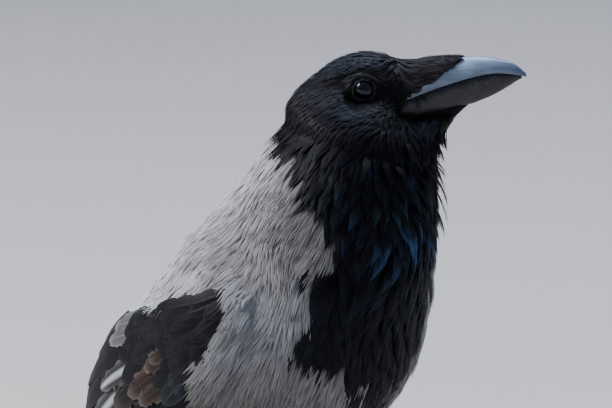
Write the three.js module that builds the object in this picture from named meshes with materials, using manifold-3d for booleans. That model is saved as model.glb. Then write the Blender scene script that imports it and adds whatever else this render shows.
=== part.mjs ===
// A hooded crow, life size, standing upright on both feet and looking round to its left.
// Millimetres, +Z up, +X the way the trunk faces, +Y the bird's left. The sizes below are measured from a
// point near the breast, and the last lines move the origin under the middle of the whole bird.
// Each solid takes in the plumage, so its outside is the outline of the feathered bird.
import * as THREE from "three";
import { mergeVertices } from "three/addons/utils/BufferGeometryUtils.js";
import Module from "manifold-3d";

const wasm = await Module();
wasm.setup();

// ---------------------------------------------------------------- driving dimensions
const GAP = 0.3; // clear space between neighbouring solids
const BODY_SIDES = 22;
const WING_SIDES = 7;
const WING_COVER = 6; // the body is cut back this far outside the wing too
const HEAD_SIDES = 20;
const BILL_SIDES = 9;

const HEAD_YAW = 45; // the head looks this far round to the bird's left, in degrees
const HEAD_PITCH = 12; // and this far up
const HEAD_CENTRE = { x: 29, y: 10, z: 345 }; // midway between the eyes
const HEAD_CUT = { at: -4, up: -25, tilt: 28 }; // where the head ends and the neck begins
const NECK_CUT = { x: 6, z: 270, pitch: 61 }; // where the neck ends and the trunk begins

const EYE_RADIUS = 6.4;
const EYE_AT = { forward: 0, side: 12.6, up: 0 };

const ANKLE = { x: -51, side: 27, z: 70 };
const FOOT = { x: -34, side: 30, z: 4.6 };
const BALL = { long: 8, wide: 8.4, high: 5.2 };

const TAIL_ROOT = { x: -98, z: 128 };
const TAIL_SLOPE = 36.5; // degrees below the horizontal
const TAIL_PAIRS = 6;
// A feather of the middle pair, and how each pair further out differs from the one inside it.
const TAIL_FEATHER = { out: 0.6, above: 1.6, turn: 0.4, length: 185, width: 28, thick: 1.9, droop: 0.6 };
const TAIL_STEP = { out: 1.2, above: -0.75, turn: 0.95, width: -1 };
const TAIL_ROUNDING = 0.6; // the outer pairs are shorter by this times the square of their number

// Sections of the trunk and neck from the rump to the inside of the head: the middle of the section, the
// way it faces (pitch up and yaw left, in degrees), and how far it reaches sideways, up and down.
const TRUNK = [
  { x: -122, y: 0, z: 109, pitch: 37, yaw: 0, wide: 13, up: 7, down: 8 },
  { x: -110, y: 0, z: 119, pitch: 38, yaw: 0, wide: 23, up: 14, down: 15 },
  { x: -99, y: 0, z: 130, pitch: 41, yaw: 0, wide: 31, up: 22, down: 24 },
  { x: -84, y: 0, z: 147, pitch: 46, yaw: 0, wide: 43, up: 35, down: 41 },
  { x: -66, y: 0, z: 168, pitch: 50, yaw: 0, wide: 57, up: 49, down: 58 },
  { x: -45, y: 0, z: 191, pitch: 53, yaw: 0, wide: 63.5, up: 58, down: 66 },
  { x: -26, y: 0, z: 215, pitch: 56, yaw: 0, wide: 64.5, up: 59, down: 64 },
  { x: -8, y: 0, z: 238, pitch: 59, yaw: 0, wide: 64, up: 59, down: 66 },
  { x: 4, y: 0, z: 260, pitch: 62, yaw: 0, wide: 59, up: 51, down: 62 },
  { x: 14, y: 1, z: 280, pitch: 67, yaw: 2, wide: 51, up: 44, down: 56 },
  { x: 23, y: 4, z: 301, pitch: 74, yaw: 12, wide: 43, up: 40, down: 46 },
  { x: 27, y: 7, z: 315, pitch: 78, yaw: 24, wide: 38.5, up: 38, down: 40 },
  { x: 29, y: 8, z: 328, pitch: 78, yaw: 34, wide: 32, up: 33, down: 33 },
  { x: 30, y: 10, z: 339, pitch: 74, yaw: 40, wide: 24, up: 26, down: 24 },
  { x: 30, y: 10, z: 347, pitch: 70, yaw: 45, wide: 12, up: 13, down: 12 },
];

// Sections of the head along the bill's axis, from the nape to the face: top, bottom and half width.
const HEAD = [
  { at: -38, top: -6, bottom: -14, wide: 4 },
  { at: -35.5, top: -0.5, bottom: -19, wide: 9 },
  { at: -29, top: 4.8, bottom: -25, wide: 14.5 },
  { at: -20, top: 9.6, bottom: -30, wide: 18 },
  { at: -10, top: 12.9, bottom: -33, wide: 19.4 },
  { at: 0, top: 14.5, bottom: -34, wide: 19 },
  { at: 8, top: 13.1, bottom: -34, wide: 17 },
  { at: 15, top: 10.6, bottom: -33.5, wide: 14.4 },
  { at: 21, top: 7.6, bottom: -32, wide: 12 },
  { at: 27, top: 4.6, bottom: -28.5, wide: 8.2 },
];

// Sections of the two halves of the bill: ridge, cutting edge, half width, and the keel below.
const BILL = [
  { at: 12, ridge: 4.4, edge: -10.4, wide: 10, keel: -19.6 },
  { at: 20, ridge: 4.5, edge: -9.4, wide: 9, keel: -20.6 },
  { at: 30, ridge: 4.1, edge: -8.1, wide: 7.8, keel: -20.2 },
  { at: 40, ridge: 3.6, edge: -7.1, wide: 6.8, keel: -19.4 },
  { at: 50, ridge: 2.4, edge: -6.5, wide: 5.6, keel: -18.6 },
  { at: 58, ridge: 0.4, edge: -6.8, wide: 4.4, keel: -16.8 },
  { at: 65, ridge: -2.6, edge: -8.6, wide: 3, keel: -14.4 },
  { at: 70, ridge: -6, edge: -10.6, wide: 1.7, keel: -12.6 },
];
const BILL_TIP = { at: 73.2, up: -11.9, lowerBack: 1.6, apart: 0.2, blunt: 0.85 };
const BILL_ROUND = { across: 0.9, rise: 0.75 }; // below 1 makes the section squarer than an ellipse
const LOWER_BILL_NARROW = 0.9; // the lower half's width as a share of the upper's
// The pad of nasal bristles over the root of the bill, and its lower edge, which rises to the front.
const BRISTLES = { back: 14, reach: 47, depth: 1.5, backUp: -8.5, frontUp: 2.6 };
// Sections of the feathers under the bill, with the same measures as the head's.
const CHIN_SIDES = 12;
const CHIN = [
  { at: 8, top: -16, bottom: -40, wide: 17 },
  { at: 18, top: -17, bottom: -38.5, wide: 14.5 },
  { at: 26, top: -17, bottom: -34.5, wide: 11 },
  { at: 32, top: -17, bottom: -28.6, wide: 8 },
  { at: 38, top: -17.5, bottom: -24.8, wide: 5 },
  { at: 46, top: -17.8, bottom: -20.6, wide: 2 },
];

// Each folded wing wraps round the body from a low edge to a high one, as degrees round the section from
// the side (0) to the back (90). Middle of the section, pitch, reach sideways and up, and thickness.
const WING_EDGE = { thick: 0.3, round: 0.6 }; // the edges' thickness as a share of the middle's
const WING = [
  { x: 6, z: 262, pitch: 62, wide: 60.5, high: 56, low: -18, top: -8, thick: 3 },
  { x: -1, z: 250, pitch: 60, wide: 64.5, high: 60, low: -22, top: 2, thick: 5 },
  { x: -8, z: 238, pitch: 59, wide: 67.5, high: 62.5, low: -23, top: 14, thick: 8 },
  { x: -26, z: 215, pitch: 56, wide: 68, high: 62.5, low: -25, top: 38, thick: 9 },
  { x: -45, z: 191, pitch: 53, wide: 68.5, high: 64, low: -29, top: 60, thick: 9.5 },
  { x: -66, z: 168, pitch: 50, wide: 64, high: 57, low: -34, top: 72, thick: 9 },
  { x: -84, z: 147, pitch: 46, wide: 53, high: 45, low: -33, top: 80, thick: 7.5 },
  { x: -104, z: 128, pitch: 42, wide: 41, high: 31, low: -24, top: 84, thick: 5 },
  { x: -125, z: 109, pitch: 40, wide: 32, high: 22, low: -6, top: 84, thick: 3.6 },
  { x: -144, z: 94, pitch: 38, wide: 26, high: 16, low: 18, top: 76, thick: 2 },
];
// The tips of the long flight feathers below each folded wing, in the tail's directions. The first is the
// longest and lies nearest the middle, and each next one differs from it by one more step.
const PRIMARY_COUNT = 5;
const PRIMARY = { width: 15, thick: 1.8, droop: 0.4, roll: 16 };
const PRIMARY_ROOT = { along: 44, out: 9, above: 7.6 };
const PRIMARY_ROOT_STEP = { along: 0, out: 4, above: -0.3 };
const PRIMARY_END = { along: 158, out: 7.5, above: 6.4 };
const PRIMARY_END_STEP = { along: -13, out: 4.2, above: -0.2 };

// Sections of the feathered leg from inside the belly to the ankle, and the way they all face.
const THIGH_PITCH = 78;
const THIGH_SIDES = 12;
const THIGH = [
  { x: -31, side: 33, z: 172, long: 26, across: 18 },
  { x: -33, side: 32, z: 146, long: 26, across: 18 },
  { x: -39, side: 30, z: 120, long: 20.5, across: 15 },
  { x: -46, side: 28, z: 96, long: 12.5, across: 10 },
  { x: -50.5, side: 27, z: 79, long: 6.4, across: 5.6 },
  { x: -51.2, side: 27, z: 73, long: 3.8, across: 3.4 },
];

// Thickness of the bare shank at shares of its length, with a swelling at the ankle and above the toes.
const SHANK_SIDES = 8;
const SHANK_PITCH = -75;
const SHANK_ROUND = { across: 0.85, along: 1.1 };
const SHANK = [
  { share: -0.06, thick: 2.4 },
  { share: 0, thick: 3.9 },
  { share: 0.08, thick: 3.6 },
  { share: 0.2, thick: 2.5 },
  { share: 0.5, thick: 2.3 },
  { share: 0.8, thick: 2.5 },
  { share: 0.92, thick: 3.4 },
  { share: 1, thick: 3.8 },
];

// Toes: how far out from the foot's middle each starts, its heading from straight ahead (both outwards),
// the length of the fleshy toe, and that of its claw.
const TOES = [
  { name: "inner", out: -4.4, heading: -26, length: 29, girth: 3.1, claw: 12, joints: 2 },
  { name: "middle", out: 0, heading: 2, length: 41, girth: 3.3, claw: 13, joints: 3 },
  { name: "outer", out: 4.4, heading: 29, length: 31, girth: 3, claw: 11, joints: 3 },
  { name: "hind", out: -0.5, heading: 184, length: 20, girth: 3.3, claw: 15.5, joints: 1 },
];
const TOE_SIDES = 8;
const TOE_START = 3; // where a toe leaves the ball, from the foot's middle
const TOE_TAPER = 0.22; // the share of its girth that a toe loses by its end
const TOE_PAD = { between: 0.86, swell: 0.16, end: 0.86 }; // thickness as a share of the girth
const TOE_HEIGHT = 0.92; // the middle of a toe above the floor, as a share of its girth
const CLAW_SIDES = 6;
const CLAW_STEPS = 4;
const CLAW_INSIDE = 1.5; // a claw starts this far inside its toe
const CLAW_RISE = 18; // degrees that a claw points up as it leaves the toe
const CLAW_BEND = 62; // degrees that it then turns down through
const CLAW_SHAPE = { root: 0.5, tip: 0.06, across: 0.72, height: 0.74 }; // shares of the toe's girth

// ---------------------------------------------------------------- colours
const finish = (color, roughness) => new THREE.MeshStandardMaterial({ color, roughness, metalness: 0 });
const BLACK_PLUMAGE = finish(0x14161a, 0.55);
const GREY_PLUMAGE = finish(0x9c9da0, 0.85);
const BILL_HORN = finish(0x2a2c30, 0.35);
const LEG_SKIN = finish(0x1b1b1d, 0.6);
const CLAW_HORN = finish(0x131314, 0.35);
const EYE_DARK = finish(0x17100c, 0.08);

// ---------------------------------------------------------------- small helpers
const radians = THREE.MathUtils.degToRad;
const vector = (x, y, z) => new THREE.Vector3(x, y, z);

// A closed surface through rings of equal length, with a fan over each end.
function loft(rings) {
  const sides = rings[0].length;
  const points = rings.flat();
  const first = points.length;
  for (const ring of [rings[0], rings.at(-1)])
    points.push(ring.reduce((sum, p) => sum.add(p), vector(0, 0, 0)).divideScalar(sides));
  const index = [];
  for (let i = 0; i < rings.length - 1; i++)
    for (let j = 0; j < sides; j++) {
      const [a, b] = [i * sides + j, i * sides + ((j + 1) % sides)];
      index.push(a, b, b + sides, a, b + sides, a + sides);
    }
  const last = (rings.length - 1) * sides;
  for (let j = 0; j < sides; j++) {
    const next = (j + 1) % sides;
    index.push(first, next, j, first + 1, last + j, last + next);
  }
  const inward = signedVolume(points, index) < 0;
  if (inward) index.reverse();
  return new THREE.BufferGeometry().setFromPoints(points).setIndex(index);
}

// Six times the volume that the triangles enclose, below zero where they face inwards.
function signedVolume(points, index) {
  let sum = 0;
  for (let i = 0; i < index.length; i += 3) {
    const [a, b, c] = [points[index[i]], points[index[i + 1]], points[index[i + 2]]];
    sum += a.dot(vector(0, 0, 0).crossVectors(b, c));
  }
  return sum;
}

// The solid of a closed geometry.
function solidOf(geometry) {
  const bare = geometry.clone();
  bare.deleteAttribute("normal");
  bare.deleteAttribute("uv");
  const merged = mergeVertices(bare, 1e-4);
  const vertProperties = new Float32Array(merged.attributes.position.array);
  const triVerts = new Uint32Array(merged.index.array);
  return new wasm.Manifold(new wasm.Mesh({ numProp: 3, vertProperties, triVerts }));
}

const loftSolid = (rings) => solidOf(loft(rings));

// The mesh of a solid.
function geometryOf(solid) {
  const { vertProperties, triVerts } = solid.getMesh();
  const geometry = new THREE.BufferGeometry();
  geometry.setAttribute("position", new THREE.BufferAttribute(new Float32Array(vertProperties), 3));
  geometry.setIndex(new THREE.BufferAttribute(new Uint32Array(triVerts), 1));
  return geometry;
}

// A solid with others cut away from it.
const without = (solid, ...others) => others.reduce((rest, other) => rest.subtract(other), solid);

// The forward, left and up directions of something that looks up by pitch and left by yaw.
function facing(pitch, yaw) {
  const [p, w] = [radians(pitch), radians(yaw)];
  const forward = vector(Math.cos(p) * Math.cos(w), Math.cos(p) * Math.sin(w), Math.sin(p));
  const left = vector(-Math.sin(w), Math.cos(w), 0);
  return { forward, left, up: vector(0, 0, 0).crossVectors(forward, left) };
}

// A rounded section that reaches wide to each side, and up and down from its centre.
function section({ centre, left, up }, reach, sides) {
  const ring = [];
  for (let j = 0; j < sides; j++) {
    const angle = (2 * Math.PI * j) / sides;
    const rise = Math.sin(angle) * (Math.sin(angle) > 0 ? reach.up : reach.down);
    ring.push(
      centre
        .clone()
        .addScaledVector(left, reach.wide * Math.cos(angle))
        .addScaledVector(up, rise),
    );
  }
  return ring;
}

// ---------------------------------------------------------------- trunk, neck and head
const head = facing(HEAD_PITCH, HEAD_YAW);
const headPoint = (along, left, up) =>
  vector(HEAD_CENTRE.x, HEAD_CENTRE.y, HEAD_CENTRE.z)
    .addScaledVector(head.forward, along)
    .addScaledVector(head.left, left)
    .addScaledVector(head.up, up);

function trunkSolid() {
  return loftSolid(
    TRUNK.map((s) => section({ centre: vector(s.x, s.y, s.z), ...facing(s.pitch, s.yaw) }, s, BODY_SIDES)),
  );
}

// A closed form along the head's axis, from rows of top, bottom and half width.
function alongHead(rows, sides) {
  return loftSolid(
    rows.map((s) => {
      const half = (s.top - s.bottom) / 2;
      const reach = { wide: s.wide, up: half, down: half };
      return section({ centre: headPoint(s.at, 0, s.bottom + half), ...head }, reach, sides);
    }),
  );
}

// Half of the bill: a section with a flat side on the cutting edge and a rounded one on the ridge or keel.
// To grow it moves every side outwards.
function billHalf(upper, grow = 0) {
  const rows = BILL.map((s) => {
    const reach = upper ? s.ridge - s.edge : s.edge - s.keel;
    const sign = upper ? 1 : -1;
    const flat = s.edge + (sign * GAP) / 2 - sign * grow;
    const narrow = upper ? 1 : LOWER_BILL_NARROW;
    const ring = [];
    for (let j = 0; j < BILL_SIDES; j++) {
      const angle = (Math.PI * j) / (BILL_SIDES - 1);
      const across = Math.sign(Math.cos(angle)) * Math.abs(Math.cos(angle)) ** BILL_ROUND.across;
      const side = (s.wide * narrow + grow) * across;
      const rise = (reach - GAP / 2 + 2 * grow) * Math.sin(angle) ** BILL_ROUND.rise;
      ring.push(headPoint(s.at, side, flat + sign * rise));
    }
    return ring;
  });
  const reach = upper ? BILL_TIP.at : BILL_TIP.at - BILL_TIP.lowerBack;
  const apart = upper ? BILL_TIP.apart : -BILL_TIP.apart;
  const tip = headPoint(reach + grow, 0, BILL_TIP.up + apart);
  rows.push(rows.at(-1).map((p) => p.clone().lerp(tip, BILL_TIP.blunt)));
  return loftSolid(rows);
}

// The nasal bristles lie over the root of the bill and end in a slanting edge.
function bristlePad() {
  const clear = 40; // wider and higher than the bill
  const ends = [
    { at: BRISTLES.back, low: BRISTLES.backUp },
    { at: BRISTLES.reach, low: BRISTLES.frontUp },
  ];
  const rows = ends.map(({ at, low }) => [
    headPoint(at, clear, low),
    headPoint(at, clear, low + clear),
    headPoint(at, -clear, low + clear),
    headPoint(at, -clear, low),
  ]);
  return billHalf(true, BRISTLES.depth).intersect(loftSolid(rows));
}

// The whole eyeball, most of which lies inside the head.
function eyeBall(side, grow = 0) {
  const ball = new THREE.SphereGeometry(EYE_RADIUS + grow, 14, 8);
  const at = headPoint(EYE_AT.forward, side * EYE_AT.side, EYE_AT.up);
  return solidOf(ball.translate(at.x, at.y, at.z));
}

// ---------------------------------------------------------------- wings and tail
// A curved slab round the body's side, between its low and high edges, thickest at the middle. Side is 1
// for left and -1 for right. To grow it moves every side outwards, and cover moves the outer side further.
function wingSolid(side, grow = 0, cover = 0) {
  return loftSolid(
    WING.map((s) => {
      const { left, up } = facing(s.pitch, 0);
      const centre = vector(s.x, 0, s.z);
      const spread = THREE.MathUtils.radToDeg(grow / s.wide);
      const at = (share, out) => {
        const angle = radians(s.low - spread + (s.top - s.low + 2 * spread) * share);
        return centre
          .clone()
          .addScaledVector(left, side * (s.wide + out) * Math.cos(angle))
          .addScaledVector(up, (s.high + out) * Math.sin(angle));
      };
      const depth = (share) => {
        const middle = Math.sin(Math.PI * share) ** WING_EDGE.round;
        return s.thick * (WING_EDGE.thick + (1 - WING_EDGE.thick) * middle);
      };
      const shares = Array.from({ length: WING_SIDES + 1 }, (_, j) => j / WING_SIDES);
      const outer = shares.map((share) => at(share, grow + cover));
      const inner = shares.map((share) => at(share, -depth(share) - grow));
      return [...outer, ...inner.reverse()];
    }),
  );
}

// A flat lens-shaped feather from its root along a direction, with its edges drooping from the shaft.
function vane(root, along, across, face, size) {
  const outline = [
    { share: 0, wide: 0.45 },
    { share: 0.75, wide: 1 },
    { share: 0.94, wide: 0.75 },
    { share: 1, wide: 0.25 },
  ];
  return loftSolid(
    outline.map(({ share, wide }) => {
      const half = (size.width / 2) * wide;
      const centre = root.clone().addScaledVector(along, size.length * share);
      const rise = size.thick / 2;
      const droop = -size.droop * wide;
      return [
        centre.clone().addScaledVector(across, half).addScaledVector(face, droop),
        centre.clone().addScaledVector(face, rise),
        centre.clone().addScaledVector(across, -half).addScaledVector(face, droop),
        centre.clone().addScaledVector(face, -rise),
      ];
    }),
  );
}

const slope = facing(TAIL_SLOPE, 0);
const backwards = slope.forward.clone().negate();
const overTail = (along, out, above) =>
  vector(TAIL_ROOT.x, 0, TAIL_ROOT.z)
    .addScaledVector(backwards, along)
    .addScaledVector(slope.left, out)
    .addScaledVector(slope.up, above);

// The measures of the numbered one in a row of like pieces.
function stepped(first, step, number) {
  const size = { ...first };
  for (const key of Object.keys(step)) size[key] += step[key] * number;
  return size;
}

const grownBy = (size, grow) => ({
  ...size,
  length: size.length + grow,
  width: size.width + 2 * grow,
  thick: size.thick + 2 * grow,
});

// One feather lying flat along the tail's slope, from its root and turned outwards.
function tailFeather(root, turn, size) {
  const [cos, sin] = [Math.cos(turn), Math.sin(turn)];
  const along = backwards.clone().multiplyScalar(cos).addScaledVector(slope.left, sin);
  const across = slope.left.clone().multiplyScalar(cos).addScaledVector(backwards, -sin);
  return vane(root, along, across, slope.up, size);
}

// Twelve tail feathers, stacked with the middle pair on top and spread a little to each side.
function tailSolid(grow = 0) {
  const vanes = [];
  for (let pair = 0; pair < TAIL_PAIRS; pair++)
    for (const side of [-1, 1]) {
      const feather = stepped(TAIL_FEATHER, TAIL_STEP, pair);
      feather.length -= TAIL_ROUNDING * pair * pair;
      const root = overTail(0, side * feather.out, feather.above);
      vanes.push(tailFeather(root, radians(side * feather.turn), grownBy(feather, grow)));
    }
  return vanes.reduce((whole, one) => whole.add(one));
}

// The tips of the long flight feathers, stepped one behind the other and rolled down at the outer side.
function primariesSolid(side) {
  const vanes = [];
  for (let i = 0; i < PRIMARY_COUNT; i++) {
    const from = stepped(PRIMARY_ROOT, PRIMARY_ROOT_STEP, i);
    const to = stepped(PRIMARY_END, PRIMARY_END_STEP, i);
    const root = overTail(from.along, side * from.out, from.above);
    const end = overTail(to.along, side * to.out, to.above);
    const along = end.clone().sub(root).normalize();
    const across = slope.left.clone().addScaledVector(along, -along.dot(slope.left)).normalize();
    across.applyAxisAngle(along, side * radians(PRIMARY.roll));
    const face = vector(0, 0, 0).crossVectors(across, along);
    vanes.push(vane(root, along, across, face, { ...PRIMARY, length: end.distanceTo(root) }));
  }
  return vanes.reduce((together, one) => together.add(one));
}

// ---------------------------------------------------------------- legs and feet
// The feathered leg.
function thighSolid(side, grow = 0) {
  return loftSolid(
    THIGH.map((s) => {
      const centre = vector(s.x, side * s.side, s.z);
      const reach = { wide: s.across + grow, up: s.long + grow, down: s.long + grow };
      return section({ centre, ...facing(THIGH_PITCH, 0) }, reach, THIGH_SIDES);
    }),
  );
}

// The bare shank, thick at the ankle and above the toes.
function shankSolid(side, grow = 0) {
  const top = vector(ANKLE.x, side * ANKLE.side, ANKLE.z);
  const foot = vector(FOOT.x, side * FOOT.side, FOOT.z);
  return loftSolid(
    SHANK.map(({ share, thick }) => {
      const centre = top.clone().lerp(foot, share);
      const deep = thick * SHANK_ROUND.along + grow;
      const reach = { wide: thick * SHANK_ROUND.across + grow, up: deep, down: deep };
      return section({ centre, ...facing(SHANK_PITCH, 0) }, reach, SHANK_SIDES);
    }),
  );
}

// The ball of the foot, flat below.
function ballSolid(side, grow = 0) {
  const ball = new THREE.SphereGeometry(1, 10, 6);
  ball.scale(BALL.long + grow, BALL.wide + grow, BALL.high + grow);
  ball.translate(FOOT.x, side * FOOT.side, FOOT.z);
  return solidOf(ball).trimByPlane([0, 0, 1], -grow);
}

// Where a toe runs: straight out from the ball, level with the floor.
function toeHeading(toe, side) {
  const angle = radians(side * toe.heading);
  return vector(Math.cos(angle), Math.sin(angle), 0);
}

// A toe swells at each joint's pad and rests flat on the floor there.
function toeSolid(toe, side, grow = 0) {
  const along = toeHeading(toe, side);
  const across = vector(-along.y, along.x, 0);
  const start = vector(FOOT.x, side * (FOOT.side + toe.out), 0);
  const steps = 2 * toe.joints + 1;
  const rings = [];
  for (let i = 0; i <= steps; i++) {
    const share = i / steps;
    const pad = 0.5 - 0.5 * Math.cos(2 * Math.PI * toe.joints * share);
    const taper = 1 - TOE_TAPER * share;
    const end = i === steps ? TOE_PAD.end : 1;
    const thick = toe.girth * taper * (TOE_PAD.between + TOE_PAD.swell * pad) * end;
    const centre = start.clone().addScaledVector(along, TOE_START + (toe.length - TOE_START) * share);
    centre.z = toe.girth * taper * TOE_HEIGHT;
    const reach = { wide: thick + grow, up: thick + grow, down: thick + grow };
    rings.push(section({ centre, left: across, up: vector(0, 0, 1) }, reach, TOE_SIDES));
  }
  return loftSolid(rings).trimByPlane([0, 0, 1], -grow);
}

// A claw curves down from the toe's end in a tapering, flattened arc.
function clawSolid(toe, side) {
  const along = toeHeading(toe, side);
  const across = vector(-along.y, along.x, 0);
  const centre = vector(FOOT.x, side * (FOOT.side + toe.out), toe.girth * CLAW_SHAPE.height);
  centre.addScaledVector(along, toe.length - CLAW_INSIDE);
  const rings = [];
  for (let i = 0; i <= CLAW_STEPS; i++) {
    const share = i / CLAW_STEPS;
    const dip = radians(CLAW_RISE - CLAW_BEND * share);
    const way = along.clone().multiplyScalar(Math.cos(dip)).setZ(Math.sin(dip));
    const face = vector(0, 0, 0).crossVectors(way, across);
    const thick = toe.girth * (CLAW_SHAPE.root * (1 - share) ** 0.7 + CLAW_SHAPE.tip);
    const reach = { wide: thick * CLAW_SHAPE.across, up: thick, down: thick };
    rings.push(section({ centre, left: across, up: face }, reach, CLAW_SIDES));
    centre.addScaledVector(way, toe.claw / CLAW_STEPS);
  }
  return loftSolid(rings).trimByPlane([0, 0, 1], GAP);
}

// ---------------------------------------------------------------- assembly
const bird = new THREE.Group();

// Adds a named piece to the bird.
function place(name, solid, material) {
  const mesh = new THREE.Mesh(geometryOf(solid), material);
  mesh.name = name;
  bird.add(mesh);
}

const SIDES = [
  { word: "left", side: 1 },
  { word: "right", side: -1 },
];

// The two halves of a solid on either side of a thin cut through a point.
function parted(solid, point, normal) {
  const offset = normal.dot(point);
  const beyond = solid.trimByPlane(normal.toArray(), offset + GAP / 2);
  const before = solid.trimByPlane(normal.clone().negate().toArray(), GAP / 2 - offset);
  return [beyond, before];
}

const wingsGrown = SIDES.map(({ side }) => wingSolid(side, GAP));
const wingHollows = SIDES.map(({ side }) => wingSolid(side, GAP, WING_COVER));
const whole = trunkSolid()
  .add(alongHead(HEAD, HEAD_SIDES))
  .add(alongHead(CHIN, CHIN_SIDES))
  .add(bristlePad());

const headCutWay = head.up
  .clone()
  .multiplyScalar(Math.cos(radians(HEAD_CUT.tilt)))
  .addScaledVector(head.forward, Math.sin(radians(HEAD_CUT.tilt)));
const [headWhole, below] = parted(whole, headPoint(HEAD_CUT.at, 0, HEAD_CUT.up), headCutWay);
const [neck, trunk] = parted(below, vector(NECK_CUT.x, 0, NECK_CUT.z), facing(NECK_CUT.pitch, 0).forward);

const eyesGrown = SIDES.map(({ side }) => eyeBall(side, GAP));
const billGrown = [billHalf(true, GAP), billHalf(false, GAP)];
const tailGrown = tailSolid(GAP);
const thighsGrown = SIDES.map(({ side }) => thighSolid(side, GAP));

place("head", without(headWhole, ...billGrown, ...eyesGrown), BLACK_PLUMAGE);
place("neck", without(neck, ...wingHollows, ...billGrown), GREY_PLUMAGE);
place("trunk", without(trunk, ...wingHollows, tailGrown, ...thighsGrown), GREY_PLUMAGE);
place("bill_upper", billHalf(true), BILL_HORN);
place("bill_lower", billHalf(false), BILL_HORN);
place("tail", tailSolid(), BLACK_PLUMAGE);

for (const { word, side } of SIDES) {
  place(`eye_${word}`, eyeBall(side), EYE_DARK);
  place(`wing_${word}`, without(wingSolid(side), tailGrown), BLACK_PLUMAGE);
  place(`primaries_${word}`, without(primariesSolid(side), ...wingsGrown, tailGrown), BLACK_PLUMAGE);
  place(`thigh_${word}`, without(thighSolid(side), shankSolid(side, GAP)), BLACK_PLUMAGE);
  const foot = shankSolid(side).add(ballSolid(side));
  const footGrown = shankSolid(side, GAP).add(ballSolid(side, GAP));
  place(`shank_${word}`, foot, LEG_SKIN);
  for (const toe of TOES) {
    place(`toe_${toe.name}_${word}`, without(toeSolid(toe, side), footGrown), LEG_SKIN);
    place(`claw_${toe.name}_${word}`, without(clawSolid(toe, side), toeSolid(toe, side, GAP)), CLAW_HORN);
  }
}

// The origin goes to the middle of the box's bottom.
const box = new THREE.Box3().setFromObject(bird);
const middle = box.getCenter(vector(0, 0, 0));
for (const mesh of bird.children) mesh.geometry.translate(-middle.x, -middle.y, -box.min.z);

export default bird;
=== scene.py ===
"""A hooded crow standing on its own feet: one skin, its plumage, bill, eyes and claws over a fixed frame.

Lengths inside the classes are millimetres in the frame of the row; meshes are written in metres.
"""
from __future__ import annotations

import logging
import math
from dataclasses import dataclass, field
from enum import Enum, IntEnum

import bmesh
import bpy
import numpy as np
from mathutils import Matrix, Vector
from mathutils.bvhtree import BVHTree
from mathutils.kdtree import KDTree


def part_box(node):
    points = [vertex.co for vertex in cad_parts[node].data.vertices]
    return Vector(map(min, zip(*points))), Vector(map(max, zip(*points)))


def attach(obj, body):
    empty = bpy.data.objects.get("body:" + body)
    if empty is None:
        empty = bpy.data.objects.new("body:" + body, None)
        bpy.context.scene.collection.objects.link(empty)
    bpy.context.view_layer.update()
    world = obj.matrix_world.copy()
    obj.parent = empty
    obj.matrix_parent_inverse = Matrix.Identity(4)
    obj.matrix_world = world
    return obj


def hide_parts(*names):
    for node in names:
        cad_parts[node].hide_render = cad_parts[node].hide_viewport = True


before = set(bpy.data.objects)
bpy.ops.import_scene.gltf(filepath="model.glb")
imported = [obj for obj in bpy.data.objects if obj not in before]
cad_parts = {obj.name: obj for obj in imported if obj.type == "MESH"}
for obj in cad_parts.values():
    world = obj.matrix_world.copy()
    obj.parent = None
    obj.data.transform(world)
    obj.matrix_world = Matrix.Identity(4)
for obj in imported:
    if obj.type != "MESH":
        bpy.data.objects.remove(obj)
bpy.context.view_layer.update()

LOG = logging.getLogger("crow")
MM = 0.001
UP = np.array((0.0, 0.0, 1.0))
Array = np.ndarray
BODY = "root"
PATCH = 0.003  # how wide each tuft's own patch is on the bake map
SIDES = {"left": 1.0, "right": -1.0}


# ---------------------------------------------------------------- small mathematics

def unit(vectors: Array) -> Array:
    """Return the vectors at length one."""
    return vectors / np.maximum(np.linalg.norm(vectors, axis=-1, keepdims=True), 1e-9)


def dot(first: Array, second: Array) -> Array:
    """Return the dot products of two rows of vectors, kept as a column."""
    return (first * second).sum(-1, keepdims=True)


def smoothstep(value: Array, low: float, high: float) -> Array:
    """Return 0 below low, 1 above high and a smooth rise between them."""
    share = np.clip((value - low) / (high - low), 0.0, 1.0)
    return share * share * (3.0 - 2.0 * share)


def ripple(points: Array, wavelength: float, seed: int) -> Array:
    """Return a smooth random value for each point, roughly -1 to 1.

    Args:
        points: places in millimetres, one row each.
        wavelength: the typical distance from crest to crest.
        seed: which of the random fields it is.

    Returns:
        One value for each point.
    """
    rng = np.random.default_rng(seed)
    waves = unit(rng.normal(size=(8, 3))) * rng.uniform(0.7, 1.4, (8, 1)) * (2 * math.pi / wavelength)
    phases = rng.uniform(0, 2 * math.pi, 8)
    return np.sin(points @ waves.T + phases).sum(-1) / 3.0


def linear(code: int) -> Array:
    """Return an sRGB hex colour as linear red, green and blue."""
    parts = np.array([(code >> 16) & 255, (code >> 8) & 255, code & 255]) / 255.0
    return np.where(parts <= 0.04045, parts / 12.92, ((parts + 0.055) / 1.055) ** 2.4)


def colour(code: int) -> tuple[float, float, float, float]:
    """Return an sRGB hex colour as the linear four values that a colour socket takes."""
    red, green, blue = linear(code)
    return (float(red), float(green), float(blue), 1.0)


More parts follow.
